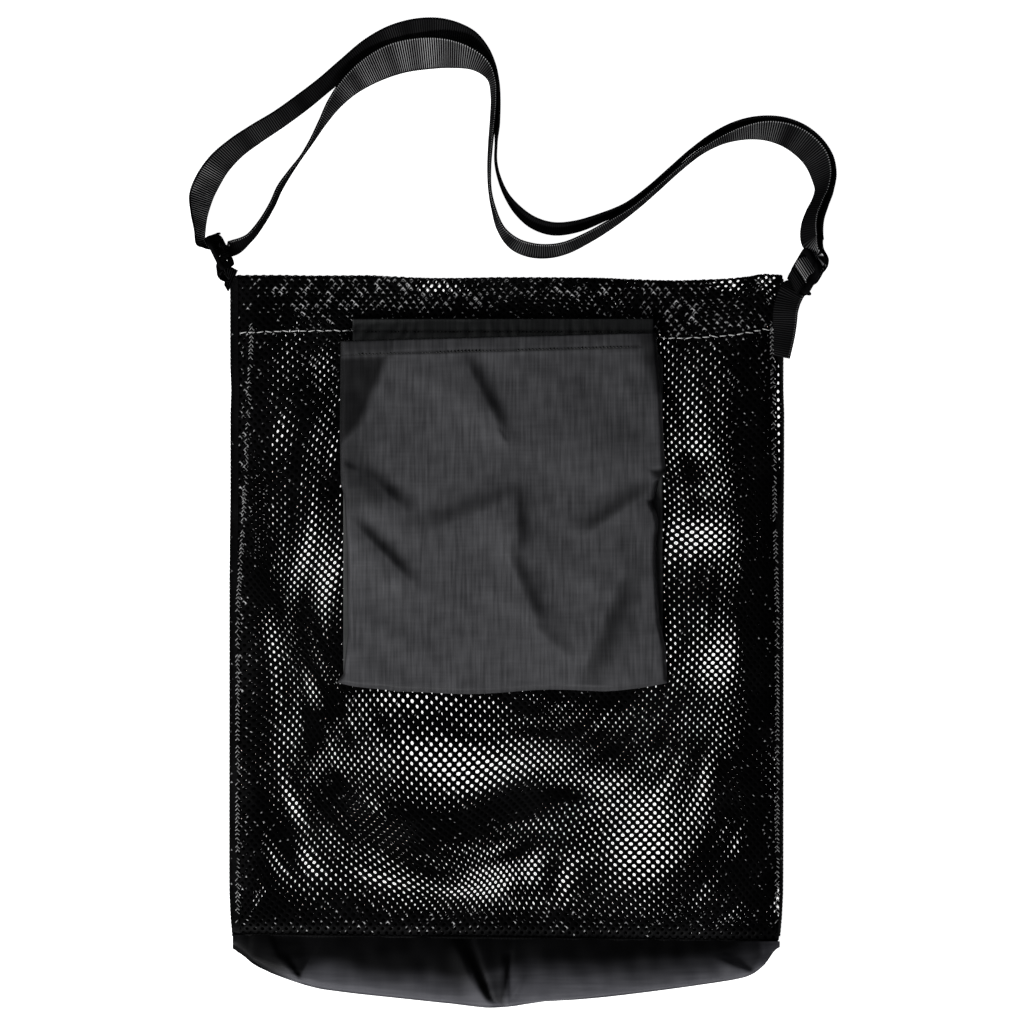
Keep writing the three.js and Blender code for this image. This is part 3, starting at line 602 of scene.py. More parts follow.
class Shader:
    """A node material. Sockets are given by name, with a value or with another node's output."""

    def __init__(self, name):
        self.material = bpy.data.materials.new(name)
        self.material.use_nodes = True
        self.nodes = self.material.node_tree.nodes
        self.links = self.material.node_tree.links

    def join(self, socket, value):
        if isinstance(value, bpy.types.NodeSocket):
            self.links.new(value, socket)
        else:
            socket.default_value = value

    def feed(self, node, sockets):
        for name, value in sockets.items():
            self.join(node.inputs[name], value)

    def add(self, kind, sockets=None, **settings):
        node = self.nodes.new("ShaderNode" + kind)
        for name, value in settings.items():
            setattr(node, name, value)
        self.feed(node, sockets or {})
        return node

    def finished(self, sockets):
        """The material, with these sockets of its surface set."""
        self.feed(self.nodes["Principled BSDF"], sockets)
        return self.material

    def stored(self, name, output="Fac"):
        """What the mesh stores for each point under a name."""
        return self.add("Attribute", attribute_name=name).outputs[output]

    def place(self, scale=(1, 1, 1), turn=0):
        """Places on the object, stretched and turned."""
        coordinates = self.add("TexCoord").outputs["Object"]
        sockets = {"Vector": coordinates, "Scale": scale, "Rotation": (0, 0, turn)}
        return self.add("Mapping", sockets).outputs["Vector"]

    def noise(self, place, scale, detail=3):
        sockets = {"Vector": place, "Scale": scale, "Detail": detail}
        return self.add("TexNoise", sockets).outputs["Fac"]

    def wave(self, place, scale, bands="X"):
        sockets = {"Vector": place, "Scale": scale}
        return self.add("TexWave", sockets, bands_direction=bands).outputs["Fac"]

    def ramp(self, value, low, high, dark, light):
        """A grey that goes from dark to light as the value goes from low to high."""
        node = self.add("ValToRGB", {"Fac": value})
        for stop, place, grey in zip(node.color_ramp.elements, (low, high), (dark, light)):
            stop.position = place
            stop.color = (*grey, 1)
        return node.outputs["Color"]

    def blend(self, share, a, b):
        """A colour between two, each a plain colour or another node's output."""
        node = self.add("Mix", data_type="RGBA")
        self.join(node.inputs[MIX_SHARE], share)
        for place, colour in zip(MIX_COLOURS, (a, b)):
            self.join(node.inputs[place], (*colour, 1) if isinstance(colour, tuple) else colour)
        return node.outputs[MIX_RESULT]

    def bump(self, height, strength, distance, below=None):
        sockets = {"Height": height, "Strength": strength, "Distance": distance}
        if below is not None:
            sockets["Normal"] = below
        return self.add("Bump", sockets).outputs["Normal"]


def net_material():
    shader = Shader("net_knit")
    patches = shader.noise(shader.place(), 26)
    fibres = shader.noise(shader.place(), 1500, detail=2)
    knit = shader.ramp(patches, 0.45, 0.75, (0.0006, 0.0006, 0.0007), (0.003, 0.003, 0.0032))
    # Painted highlights: the strands turn pale where the mesh stores light under lit.
    narrow = shader.ramp(shader.stored("lit"), 0.2, 0.9, (0, 0, 0), (1, 1, 1))
    return shader.finished(
        {
            "Base Color": shader.blend(narrow, knit, (0.62, 0.62, 0.625)),
            "Roughness": 0.5,
            "Specular IOR Level": 0.02,
            "Normal": shader.bump(fibres, strength=0.5, distance=0.0003),
        }
    )


def nylon_material(name, dark, light, grain=(620, 34, 34), weave_scale=420):
    shader = Shader(name)

    def cloth(value):
        return shader.ramp(value, 0.3, 0.7, dark, light)

    threads = shader.noise(shader.place(grain), 1, detail=2)
    crossing = shader.noise(shader.place((grain[1], grain[0], grain[2])), 1, detail=2)
    blotches = shader.noise(shader.place(), 34)
    colour = shader.blend(0.3, cloth(threads), cloth(blotches))
    colour = shader.blend(0.16, colour, cloth(crossing))
    # Painted shade: the cloth goes nearly black where the mesh stores shadow.
    colour = shader.blend(shader.stored("shadow"), colour, (0.0012, 0.0012, 0.0013))
    relief = None
    for bands in "XY":
        weave = shader.wave(shader.place(), weave_scale, bands)
        relief = shader.bump(weave, strength=0.25, distance=0.00008, below=relief)
    return shader.finished(
        {
            "Base Color": colour,
            "Roughness": 0.52,
            "Specular IOR Level": 0.06,
            "Sheen Weight": 0.01,
            "Sheen Roughness": 0.4,
            "Normal": shader.bump(threads, strength=0.22, distance=0.0002, below=relief),
        }
    )


def webbing_material():
    shader = Shader("ribbed_webbing")
    fibres = shader.noise(shader.place(), 1700, detail=2)
    ribs = shader.wave(shader.stored("run", "Vector"), WAVE_PERIOD / RIB_STEP)
    band = shader.blend(fibres, (0.0012, 0.0012, 0.0013), (0.0036, 0.0036, 0.0039))
    # Painted highlights: pale lines on the ribs and along the selvedge, where the band stores gleam.
    lines = shader.ramp(ribs, 0.66, 1, (0.002, 0.002, 0.002), (0.95, 0.95, 0.96))
    return shader.finished(
        {
            "Base Color": shader.blend(shader.stored("gleam"), band, lines),
            "Roughness": 0.5,
            "Specular IOR Level": 0,
            "Normal": shader.bump(fibres, strength=0.4, distance=0.0002),
        }
    )


def plastic_material():
    shader = Shader("moulded_plastic")
    grain = shader.noise(shader.place(), 900)
    wear_and_painted_glint = shader.noise(shader.place(), 120)
    return shader.finished(
        {
            "Base Color": shader.ramp(wear_and_painted_glint, 0.35, 0.75, (0.0015, 0.0015, 0.0016), (0.005, 0.005, 0.0053)),
            "Roughness": 0.45,
            "Specular IOR Level": 0,
            "Normal": shader.bump(grain, strength=0.15, distance=0.0001),
        }
    )


def thread_material(name, dark, light):
    shader = Shader(name)
    twist = shader.wave(shader.place(turn=0.7), 500)
    return shader.finished(
        {
            "Base Color": shader.ramp(twist, 0.2, 0.8, dark, light),
            "Roughness": 0.55,
            "Normal": shader.bump(twist, strength=0.4, distance=0.0001),
        }
    )


NET = net_material()
NYLON = nylon_material("coated_nylon", (0.0286, 0.0286, 0.0305), (0.0755, 0.0755, 0.08))
BASE_NYLON = nylon_material(
    "base_nylon", (0.034, 0.034, 0.039), (0.052, 0.052, 0.0585), grain=(26, 420, 34), weave_scale=1300
)
DARK_NYLON = nylon_material("inner_nylon", (0.025, 0.026, 0.026), (0.066, 0.0675, 0.0675))
WEBBING = webbing_material()
PLASTIC = plastic_material()
# Pale thread for the hem: dark thread with painted highlight where it catches the light.
PAINTED_GLINT_THREAD = thread_material("painted_glint_thread", (0.3, 0.3, 0.3), (0.6, 0.6, 0.59))
# Grey thread for the side chains: a real seam with painted highlight, for glints along the sides.
CHAIN_PAINTED_GLINT_THREAD = thread_material("chain_painted_glint_thread", (0.03, 0.03, 0.03), (0.30, 0.30, 0.30))
DARK_THREAD = thread_material("dark_thread", (0.002, 0.002, 0.002), (0.008, 0.008, 0.008))

# Lines of the bag, from its solids
side_at = edge_line("mesh_front", axis=0, side=1, depth=0.004)
solid_mouth = edge_line("mesh_front", axis=1, side=1, depth=0.006)
seam_at = edge_line("mesh_front", axis=1, side=-1, depth=0.006)
front_height = height_field("mesh_front", step=0.0025, passes=3)


def mouth_at(x):
    return solid_mouth(x) + measure_at(MOUTH_BULGE, x)


def left_at(y):
    return -side_at(y) - measure_at(LEFT_BULGE, y)


def right_at(y):
    return side_at(y) + measure_at(RIGHT_BULGE, y)


MOUTH = float(mouth_at(0))
SEAM = float(seam_at(0))


def seam_dip(x, y):
    """The front sinks into the base seam, less so near the sides where it is thin."""
    above = y - seam_at(x)
    width = np.where(above > 0, NET_DIP_WIDTH, BASE_DIP_WIDTH)
    thin = unit(front_height(x, seam_at(x)) / THIN_FRONT)
    return SEAM_DIP * thin * (1 - unit(abs(above) / width)) ** 2


def front_top(x, y):
    return front_height(x, y) - seam_dip(x, y)


# Net panels
CELL = np.array([(1, 0), (0.5, 0.5), (0, 1), (-0.5, 0.5), (-1, 0), (-0.5, -0.5), (0, -1), (0.5, -0.5)])
CELL = CELL * (HOLE_STEP / 2, ROW_STEP)
CRESCENT = np.array((0.5, 1, 0.5, 0.15, 0, 0, 0, 0.15))  # light round a hole, from its right side
RIDGE_LIGHT = 0.15  # share of a hole's light that reaches the ridges of its strands
ANGLES = [2 * math.pi * k / HOLE_SIDES for k in range(HOLE_SIDES)]
ROUND = np.array([(math.cos(angle), math.sin(angle)) for angle in ANGLES])


def hole_centres():
    """Middles of the holes in the flat cloth, which runs on past the mouth into the hem."""
    rows = np.arange(MOUTH - ROW_STEP / 2 + HEM_DEPTH, SEAM - 3 * ROW_STEP, -ROW_STEP)
    columns = np.arange(-HALF_COLUMNS, HALF_COLUMNS + 1) * HOLE_STEP
    index, x = crossed(np.arange(len(rows)), columns)
    x = x + np.where(index % 2 == 1, HOLE_STEP / 2, 0)
    y = rows[index]
    inside = (abs(x) < side_at(y) + HOLE_STEP) & (y > seam_at(x) - 2 * ROW_STEP)
    inside &= y < mouth_at(x) + HEM_DEPTH
    return np.stack([x[inside], y[inside]], axis=1)


def streaks(x, y, half_width=0.15, half_height=0.20, middle=0.03):
    """Long waves that run round the pocket, as the net is drawn in there."""
    x = x / half_width
    y = (y - middle) / half_height
    ring = half_height * (abs(x) ** 3 + abs(y) ** 3) ** (1 / 3)
    return ripples(ring, 0.03 * np.arctan2(x, -y), 0.016, seed=16)


def open_share(x, y):
    """1 where the two nets' holes line up, 0 where each covers the other's."""
    y = np.minimum(y, 2 * mouth_at(x) - y)
    drawn = streaks(x, y)
    level = 0.16 + 0.10 * drawn
    level = level + 0.05 * ripples(x, y, 0.04, seed=11) + 0.05 * ripples(x, y, 0.008, seed=14)
    level = unit(level * (1 - patches_at(DARK_PATCHES, x, y)))
    opened = patches_at(OPEN_PATCHES, x, y) * (1.03 + 0.07 * drawn)
    opened *= 1 - 0.7 * patches_at(DARK_PATCHES, x, y)
    return unit(1 - (1 - level) * (1 - unit(opened)))


def lit_share(x, y):
    """How much of the strands catches the light, as painted highlight."""
    y = np.minimum(y, 2 * mouth_at(x) - y)
    level = unit(0.05 + 0.05 * ripples(x, y, 0.03, seed=15))
    return unit(level + patches_at(LIT_PATCHES, x, y) * (0.8 + 0.4 * ripples(x, y, 0.012, seed=12)))


def warped(x, y):
    """The rows of holes wander, but not at the edges."""
    inward = np.minimum(side_at(y) - abs(x), np.minimum(y - seam_at(x), mouth_at(x) - y))
    fade = NET_WARP * eased(inward / WARP_FADE)
    return x + fade * ripples(x, y, 0.15, seed=3), y + fade * ripples(x, y, 0.14, seed=4)


def drawn_out(x, y):
    """Moves places between the sides of the solid to places between the sides of the bag."""
    return mix(left_at(y), right_at(y), 0.5 + 0.5 * x / side_at(y))


def hemmed(x, along, depth, side):
    """Folds the cloth over at the mouth. Gives y and how far it lies below the fold's top."""
    start = mouth_at(x) - HEM_BEND
    run = along - start
    angle = np.clip(run / HEM_BEND, 0, np.pi)
    past = np.maximum(run - np.pi * HEM_BEND, 0)
    y = np.minimum(along, start) - past + (HEM_BEND - side * depth) * np.sin(angle)
    drop = side * HEM_BEND * (1 - np.cos(angle)) + depth * np.cos(angle)
    return y, drop


def tucked(points):
    """Points past the side seams and the base seam are drawn in under them."""
    left = left_at(points[:, 1]) + EDGE_TUCK
    points[:, 0] = np.clip(points[:, 0], left, right_at(points[:, 1]) - EDGE_TUCK)
    points[:, 1] = np.maximum(points[:, 1], seam_at(points[:, 0]) + EDGE_TUCK / 2)
    return points


def real_faces(points, faces, smallest=2e-9):
    """Drops faces without an area and the points that no face uses."""
    a, b, c, d = (points[faces[:, k]] for k in range(4))
    area = np.linalg.norm(np.cross(c - a, d - b), axis=1) / 2
    used, faces = np.unique(faces[area > smallest], return_inverse=True)
    return used, faces.reshape(-1, 4)


def crescents(centres, seed):
    """Painted highlight on the far edge of some of the holes, for each point round a hole."""
    share = lit_share(*centres.T)
    chance, glint = np.random.default_rng(seed).random((2, len(centres)))
    bright = np.where(chance < 0.10 + 1.3 * share, (0.35 + 0.65 * glint) * (0.7 + 0.3 * share), 0)
    turns = np.floor(3 * np.random.default_rng(seed + 100).random(len(centres))).astype(int)
    around_hole = (np.arange(HOLE_SIDES) - turns[:, None]) % HOLE_SIDES
    return bright[:, None] * CRESCENT[around_hole] ** (2.5 - 2.2 * share[:, None])


def net_panel(name, place, seed):
    centres = hole_centres()
    count = len(centres)
    rim = (centres[:, None, :] + CELL).reshape(-1, 2)
    keys = np.round(rim / (HOLE_STEP / 8, ROW_STEP / 4)).astype(int)
    _, first, rim_index = np.unique(keys, axis=0, return_index=True, return_inverse=True)
    size = HOLE_RADIUS * mix(TIGHT_HOLE, WIDE_HOLE, open_share(*centres.T))
    holes = (centres[:, None, :] + ROUND * size[:, None, None]).reshape(-1, 2)
    knots = np.tile([KNOT_RISE, 0], HOLE_SIDES // 2 * count)[first]
    flat = np.vstack([rim[first], holes])
    depth = np.concatenate([-knots, np.full(len(holes), STRAND_DROP)])
    outer = rim_index.reshape(count, HOLE_SIDES)
    inner = len(first) + np.arange(HOLE_SIDES * count).reshape(count, HOLE_SIDES)
    ahead = np.roll(np.arange(HOLE_SIDES), -1)
    faces = np.stack([outer, outer[:, ahead], inner[:, ahead], inner], axis=2).reshape(-1, 4)
    points = tucked(place(flat[:, 0], flat[:, 1], depth))
    used, faces = real_faces(points, faces)
    panel = piece(name, points[used], faces, NET)
    light = crescents(centres, seed)
    ridge = np.zeros(len(first))
    np.maximum.at(ridge, outer, RIDGE_LIGHT * light)
    lit = np.concatenate([ridge, light.ravel()])
    point_values(panel, "lit", lit[used])
    return panel


def place_front(x, along, depth):
    x, along = warped(x, along)
    y, drop = hemmed(x, along, depth, 1)
    x = drawn_out(x, y)
    return np.stack([x, y, front_top(x, y) - drop], axis=1)


def place_back(x, along, depth):
    shift = (1 - open_share(x, along)) * HOLE_STEP / 2
    x, along = warped(x, along)
    y, drop = hemmed(x, along, depth, -1)
    return np.stack([drawn_out(x, y) + shift, y, BACK_RIDGE - drop], axis=1)


def side_band(name, side):
    """The turned-in side seam, from the front net round to the back one."""
    along = np.arange(SEAM + BAND_STEP, MOUTH - BAND_STEP, BAND_STEP)
    turn = np.linspace(np.pi / 2, -np.pi / 2, 11)
    y, angle = crossed(along, turn)
    knit = BAND_KNIT * np.sin(2 * np.pi * y / KNIT_STEP + 3 * angle)
    edge = right_at(y) if side > 0 else left_at(y)
    width = measure_at(RIGHT_BAND, y) if side > 0 else SIDE_BAND
    x = edge - side * (width * (1 - np.cos(angle)) + knit)
    z = mix(BAND_WALL, front_top(x, y) + BAND_WALL, 0.5 + 0.5 * np.sin(angle)) + knit
    faces = grid_faces(*y.shape)
    if side > 0:
        faces = faces[:, ::-1]
    return piece(name, np.stack([x, y, np.maximum(z, BAND_CLEAR)], axis=2), faces, NET)


def base_seam():
    """A knitted roll where the front net meets the base."""
    start, end = float(left_at(SEAM)) + ROLL_INSET, float(right_at(SEAM)) - ROLL_INSET
    across = np.arange(start, end, ROLL_STEP)
    turn = np.linspace(0, np.pi, 9)
    x, angle = crossed(across, turn)
    knit = ROLL_KNIT * np.sin(2 * np.pi * x / KNIT_STEP + 2 * angle)
    y = seam_at(x) + ROLL_SHIFT + (SEAM_ROLL + knit) * np.cos(angle)
    top = front_top(x, seam_at(x)) - ROLL_SINK
    z = top + (SEAM_ROLL_RISE + knit) * np.sin(angle)
    return piece("base_seam", np.stack([x, y, z], axis=2), grid_faces(*x.shape), NET)


# Pocket
POCKET_LOW, POCKET_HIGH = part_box("pocket_front")
pocket_height = height_field("pocket_front", step=0.002, passes=4)
pocket_mouth = edge_line("pocket_front", axis=1, side=1, depth=0.007)
pocket_bottom = edge_line("pocket_front", axis=1, side=-1, depth=0.008)
leaf_height = height_field("pocket_back", step=0.003, passes=3)


def pocket_place(across, up):
    """A place on the front leaf, from its shares across and up, and the solid's x there."""
    solid_x = mix(POCKET_LOW[0], POCKET_HIGH[0], across)
    solid_y = mix(pocket_bottom(solid_x), pocket_mouth(solid_x), up)
    left = POCKET_LOW[0] + measure_at(LEFT_EDGE, solid_y)
    right = POCKET_HIGH[0] - measure_at(RIGHT_EDGE, solid_y)
    x = mix(left, right, across)
    y = solid_y + measure_at(BOTTOM_EDGE, solid_x) * (1 - unit(up * 6)) ** 2
    return x, y, solid_x


def leaf_grid(low, high, step):
    """Shares up and across a leaf."""
    rows = int((high[1] - low[1]) / step)
    columns = int((high[0] - low[0]) / step)
    return crossed(np.linspace(0, 1, rows), np.linspace(0, 1, columns))


FRONT_HEM = Hem(
    groove=0.0011, depth=0.00012, pucker=0.0085, wander=2, wave=0.06, seed=23, rise=0.00022, fade=0.006
)
BACK_HEM = Hem(
    groove=0.001, depth=0.0004, pucker=0.014, wander=3, wave=0.05, seed=31, rise=0.0008, fade=0.007
)


def sewn_line(hem, x, y, line):
    """The groove along a hem's stitches, 1 at its middle, and the height of the puckers beside it."""
    groove = np.exp(-(((y - line) / hem.groove) ** 2))
    pucker = np.sin(2 * np.pi * x / hem.pucker + hem.wander * ripples(x, y, hem.wave, hem.seed))
    return groove, hem.rise * pucker * np.exp(-abs(y - line) / hem.fade)


def leaf_piece(name, x, y, z, shadow, material):
    points = with_rims(np.stack([x, y, z], axis=2))
    leaf = piece(name, points, grid_faces(*points.shape[:2]), material)
    point_values(leaf, "shadow", rim_values(shadow))
    return leaf


def pocket_front():
    up, across = leaf_grid(POCKET_LOW, POCKET_HIGH, POCKET_STEP)
    x, y, solid_x = pocket_place(across, up)
    # The leaf rises to its full height closer to its edges than its solid does.
    crisp_up = np.interp(up, (0, 0.014, 1), (0, 0.07, 1))
    crisp_across = np.interp(across, (0, 0.012, 0.988, 1), (0, 0.055, 0.945, 1))
    face_x = mix(POCKET_LOW[0], POCKET_HIGH[0], crisp_across)
    face_y = mix(pocket_bottom(solid_x), pocket_mouth(solid_x), crisp_up)
    z = pocket_height(face_x, face_y) + folds_at(POCKET_FOLDS, x, y)
    inward = unit(np.minimum(np.minimum(across, 1 - across), up) * 12)
    z += POCKET_RIPPLE * ripples(x, y, 0.05, seed=21) * inward + FINE_RIPPLE * ripples(x, y, 0.016, seed=22)
    groove, puckers = sewn_line(FRONT_HEM, x, y, pocket_mouth(solid_x) - POCKET_HEM)
    z -= FRONT_HEM.depth * groove
    z += puckers
    # Painted shade in the hem's stitch groove, on the folds' steep sides and along the bottom and left
    # edges.
    folds = fold_shade(POCKET_FOLDS, x, y)
    bottom_edge = 1 - eased((up - 0.012) / 0.005)
    left_edge = 1 - eased(across / 0.008)
    shadow = np.maximum.reduce([0.85 * groove, 0.6 * folds, 0.45 * bottom_edge, 0.8 * left_edge])
    z, shadow = with_facets(POCKET_FACETS, x, y, z, shadow)
    leaf = leaf_piece("pocket_front_leaf", x, y, z, shadow, NYLON)
    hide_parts("pocket_front")
    return leaf


def with_rims(points):
    """Adds a turned-down rim round the sides and the bottom, and the hem's fold at the top."""
    bend = POCKET_BEND
    left = points[:, :1] + (RIM_TUCK, 0, -POCKET_RIM)
    right = points[:, -1:] + (-RIM_TUCK, 0, -POCKET_RIM)
    points = np.concatenate([left, points, right], axis=1)
    under = points[:1] + (0, RIM_TUCK, -POCKET_RIM)
    turns = [
        points[-1:] + (0, bend * math.sin(angle), -bend * (1 - math.cos(angle)))
        for angle in np.linspace(0, np.pi, HEM_TURNS + 1)[1:]
    ]
    inside = [turns[-1] + (0, -share * POCKET_HEM, 0) for share in HEM_SHARES]
    return np.concatenate([under, points, *turns, *inside], axis=0)


def rim_values(values):
    """Values for the points that with_rims gives, the added ones taken from their neighbours."""
    values = np.pad(values, ((1, 0), (1, 1)), mode="edge")
    return np.pad(values, ((0, HEM_TURNS + len(HEM_SHARES)), (0, 0)), mode="edge")


def pocket_back():
    low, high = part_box("pocket_back")
    top = edge_line("pocket_back", axis=1, side=1, depth=0.002)
    up, across = leaf_grid(low, high, LEAF_STEP)
    inset = LEAF_INSET + MOUTH_INSET * eased((up - 0.88) / 0.06)
    x = mix(low[0] + inset, high[0] - inset, across)
    bottom = pocket_bottom(x) + LEAF_INSET + np.maximum(measure_at(BOTTOM_EDGE, x), 0)
    y = mix(bottom, top(x), up)
    line = top(x) - BACK_LEAF_HEM
    groove, puckers = sewn_line(BACK_HEM, x, y, line)
    in_hem = unit((y - line) / HEM_EDGE)
    z = leaf_height(x, y) + (HEM_WALL * in_hem - BACK_HEM.depth * groove + puckers)
    # Painted shade in the hem's stitch groove.
    leaf = leaf_piece("pocket_back_leaf", x, y, z, 0.7 * groove, DARK_NYLON)
    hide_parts("pocket_back")
    return leaf


# Base
base_low = lowest_line("base_panel")


def smooth_line(values, passes):
    for _ in range(passes):
        padded = np.pad(values, 1, mode="edge")
        values = 0.25 * padded[:-2] + 0.5 * values + 0.25 * padded[2:]
    return values


def base_panel():
    low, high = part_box("base_panel")
    start, end = float(left_at(SEAM)) + BASE_INSET, float(right_at(SEAM)) - BASE_INSET
    across = np.linspace(start, end, BASE_COLUMNS)
    solid_bottom = smooth_line(base_low(across), passes=12)
    bottom = solid_bottom - measure_at(BASE_BULGE, across)
    top = seam_at(across) - BASE_GAP
    v, x = crossed(np.linspace(0, 1, BASE_TURNS + 1), across)
    drop = np.maximum(top - bottom, BASE_LEAST)
    y = top - drop * np.sin(np.pi * v) ** FOLD_BOW
    solid_x = np.clip(x, low[0] + BASE_INSET, high[0] - BASE_INSET)
    inside = np.maximum(y, solid_bottom + BASE_GAP)
    upper = heights("base_panel", solid_x, inside)
    lower = heights("base_panel", solid_x, inside, from_above=False)
    z = blurred(filled(np.where(v < 0.5, upper, lower)), passes=4)
    front = unit(np.cos(np.pi * v) * 3)
    facing = front * unit(np.minimum(x - start, end - x) / BASE_END)
    z += facing * folds_at(BASE_CREASES, x, y)
    z -= facing * seam_dip(x, y)
    z += facing * BASE_RIPPLE * ripples(x, y, 0.02, seed=41)
    # Painted shade under the base seam, fading out further down.
    under_seam = (top - y - measure_at(SEAM_SHADE, x)) / SHADE_FADE
    under_seam += SHADE_WANDER * ripples(x, y, 0.05, seed=42)
    shadow = SEAM_DARK * front * (1 - eased(under_seam))
    z, shadow = with_facets(BASE_FACETS, x, y, z, shadow, facing)
    points = np.stack([x, y, np.maximum(z, BASE_CLEAR)], axis=2)
    base = piece("base_cloth", points, grid_faces(*points.shape[:2])[:, ::-1], BASE_NYLON)
    point_values(base, "shadow", shadow)
    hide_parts("base_panel")
    return base


# Webbing
def smooth_curve(rows, at):
    """Points of a centripetal curve through the rows, at times that count the rows."""
    rows = np.asarray(rows, dtype=float)
    padded = np.vstack([2 * rows[0] - rows[1], rows, 2 * rows[-1] - rows[-2]])
    start = np.clip(np.floor(at).astype(int), 0, len(rows) - 2)
    a, b, c, d = (padded[start + k] for k in range(4))
    before, here, after = (
        np.linalg.norm(q - p, axis=1, keepdims=True) ** 0.5 for p, q in ((a, b), (b, c), (c, d))
    )
    here = np.where(here < 1e-4, 1, here)
    before = np.where(before < 1e-4, here, before)
    after = np.where(after < 1e-4, here, after)
    slope_b = ((b - a) / before - (c - a) / (before + here) + (c - b) / here) * here
    slope_c = ((c - b) / here - (d - b) / (here + after) + (d - c) / after) * here
    t = (at - start)[:, None]
    curve = (3 * (c - b) - 2 * slope_b - slope_c) * t**2
    return b + slope_b * t + curve + (2 * (b - c) + slope_b + slope_c) * t**3


def normalized(vectors):
    return vectors / np.linalg.norm(vectors, axis=-1, keepdims=True)


def floor_stations(rows, glint=((0, 0.1),), edge=EDGE_GLINT):
    """Middles, width directions and glints of a stretch on the floor. Glint is given at some rows."""
    places = np.array([(row.x, row.y, 0) for row in rows])
    padded = np.pad(places, ((1, 1), (0, 0)), mode="edge")
    way = normalized(padded[2:] - padded[:-2])
    leftward = np.cross(UP, way)
    lean = np.radians([row.lean for row in rows])[:, None]
    widths = leftward * np.cos(lean) + UP * np.sin(lean)
    reach = WEBBING_WIDTH / 2 * np.sin(lean) + WEBBING_WALL / 2 * abs(np.cos(lean))
    lift = np.array([row.lift for row in rows])[:, None]
    places[:, 2:] = reach + lift + STRAP_CLEAR
    at, values = zip(*glint)
    glints = np.interp(np.arange(len(rows)), at, values)
    return places, widths, np.stack([glints, np.full(len(rows), edge)], axis=1)


def slider_axes(slider):
    """A slider's middle, and its own directions: along the strap, along its bars and out of its face."""
    middle = np.array((slider.x, slider.y, slider.z))
    turn, dip, lean = (math.radians(angle) for angle in (slider.turn, slider.dip, slider.lean))
    along = normalized(np.array((math.cos(turn), math.sin(turn), -math.tan(dip))))
    leftward = normalized(np.cross(UP, along))
    bars = leftward * math.cos(lean) + np.cross(along, leftward) * math.sin(lean)
    face = np.cross(along, bars)
    return middle, along, bars, -face if face[2] < 0 else face


def slider_stations(slider, rows, glint=0.1):
    middle, along, bars, face = slider_axes(slider)
    places = np.array([middle + a * along + off * face for a, off in rows])
    return places, np.tile(bars, (len(rows), 1)), np.tile((glint, EDGE_GLINT), (len(rows), 1))


def joined(*stretches):
    return tuple(np.vstack(parts) for parts in zip(*stretches))


def reverse(stations):
    return tuple(part[::-1] for part in stations)


# Upper half of the band's section: share of the half width, share of the wall, and how much it is ribbed.
OUTWARD = np.array(
    [(0, 0.8, 1), (0.43, 0.8, 1), (0.85, 0.8, 1), (SELVEDGE, 1.15, 0.3), (0.98, 0.7, 0), (1, 0, 0)]
)
UPPER = np.vstack([OUTWARD[:0:-1] * (-1, 1, 1), OUTWARD])
RING = np.vstack([UPPER, UPPER[-2:0:-1]])
RING_SIDE = np.where(np.arange(len(RING)) < len(UPPER), 1, -1)


def webbing(name, stations):
    middles, widths, glints = stations
    spans = np.linalg.norm(np.diff(middles, axis=0), axis=1)
    times = [0.0]
    for i, span in enumerate(spans):
        parts = max(math.ceil(span / (RIB_STEP / 4)), 1)
        times.extend(i + (k + 1) / parts for k in range(parts))
    times = np.array(times)
    middle = smooth_curve(middles, times)
    way = normalized(np.gradient(middle, axis=0))
    width = smooth_curve(widths, times)
    width = normalized(width - (width * way).sum(axis=1, keepdims=True) * way)
    face = np.cross(way, width)
    run = np.concatenate([[0], np.cumsum(np.linalg.norm(np.diff(middle, axis=0), axis=1))])
    rib = (0.5 - 0.5 * np.cos(2 * np.pi * run / RIB_STEP))[:, None]
    share, wall, ribbed = RING.T
    serrated = np.where(abs(share) > SERRATED, np.sign(share), 0)
    across = share * WEBBING_WIDTH / 2 + SERRATION * serrated * (rib - 1)
    off = RING_SIDE * (wall * WEBBING_WALL / 2 + RIB_RISE * ribbed * (rib - 0.5))
    points = middle[:, None] + width[:, None] * across[..., None] + face[:, None] * off[..., None]
    band = piece(name, points, tube_faces(*off.shape), WEBBING)
    glint, edge = (np.interp(times, np.arange(len(glints)), column)[:, None] for column in glints.T)
    # Painted highlights on the ribs, brighter where the face lies flat and uneven along the band, and on
    # the selvedge's ridge.
    wear_and_painted_glint = 0.75 + 0.25 * ripples(run, np.zeros_like(run), 0.018, seed=61)[:, None]
    flat = np.sqrt(1 - unit(width[:, 2:] ** 2))
    on_face = unit((0.015 + glint) * flat * wear_and_painted_glint)
    on_edge = np.where((share == SELVEDGE) & (RING_SIDE > 0), 1, 0) * unit(edge + 0.8 * glint)
    point_values(band, "gleam", np.where(abs(share) >= SELVEDGE, on_edge, on_face))
    lengths = np.zeros((*off.shape, 3))
    lengths[..., 0] = run[:, None]
    point_values(band, "run", lengths, "FLOAT_VECTOR", "vector")
    return band


# Painted highlights on the faces of the strands, given at some of their stations
INNER_GLINT = (
    (3, 0), (9, 0.25), (13, 0.36), (17, 0.22), (30, 0.12), (34, 0.26), (37, 0.34), (39, 0.03), (47, 0),
)
OUTER_GLINT = ((0, 1.2), (2, 0.7), (4, 0.16), (8, 0.01), (44, 0))


def shoulder_strap():
    strap = webbing(
        "strap_band",
        joined(
            reverse(slider_stations(LEFT_SLIDER, SEWN_LOOP)),
            floor_stations(INNER_STRAND, INNER_GLINT, 0.4),
            slider_stations(RIGHT_SLIDER, TURN_ROUND_BAR, 0.8),
            reverse(floor_stations(OUTER_STRAND, OUTER_GLINT)),
            slider_stations(LEFT_SLIDER, PASSING_STRAND, 0.15),
            floor_stations(LEFT_SEWN_END, ((0, 0.15),)),
        ),
    )
    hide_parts("shoulder_strap")


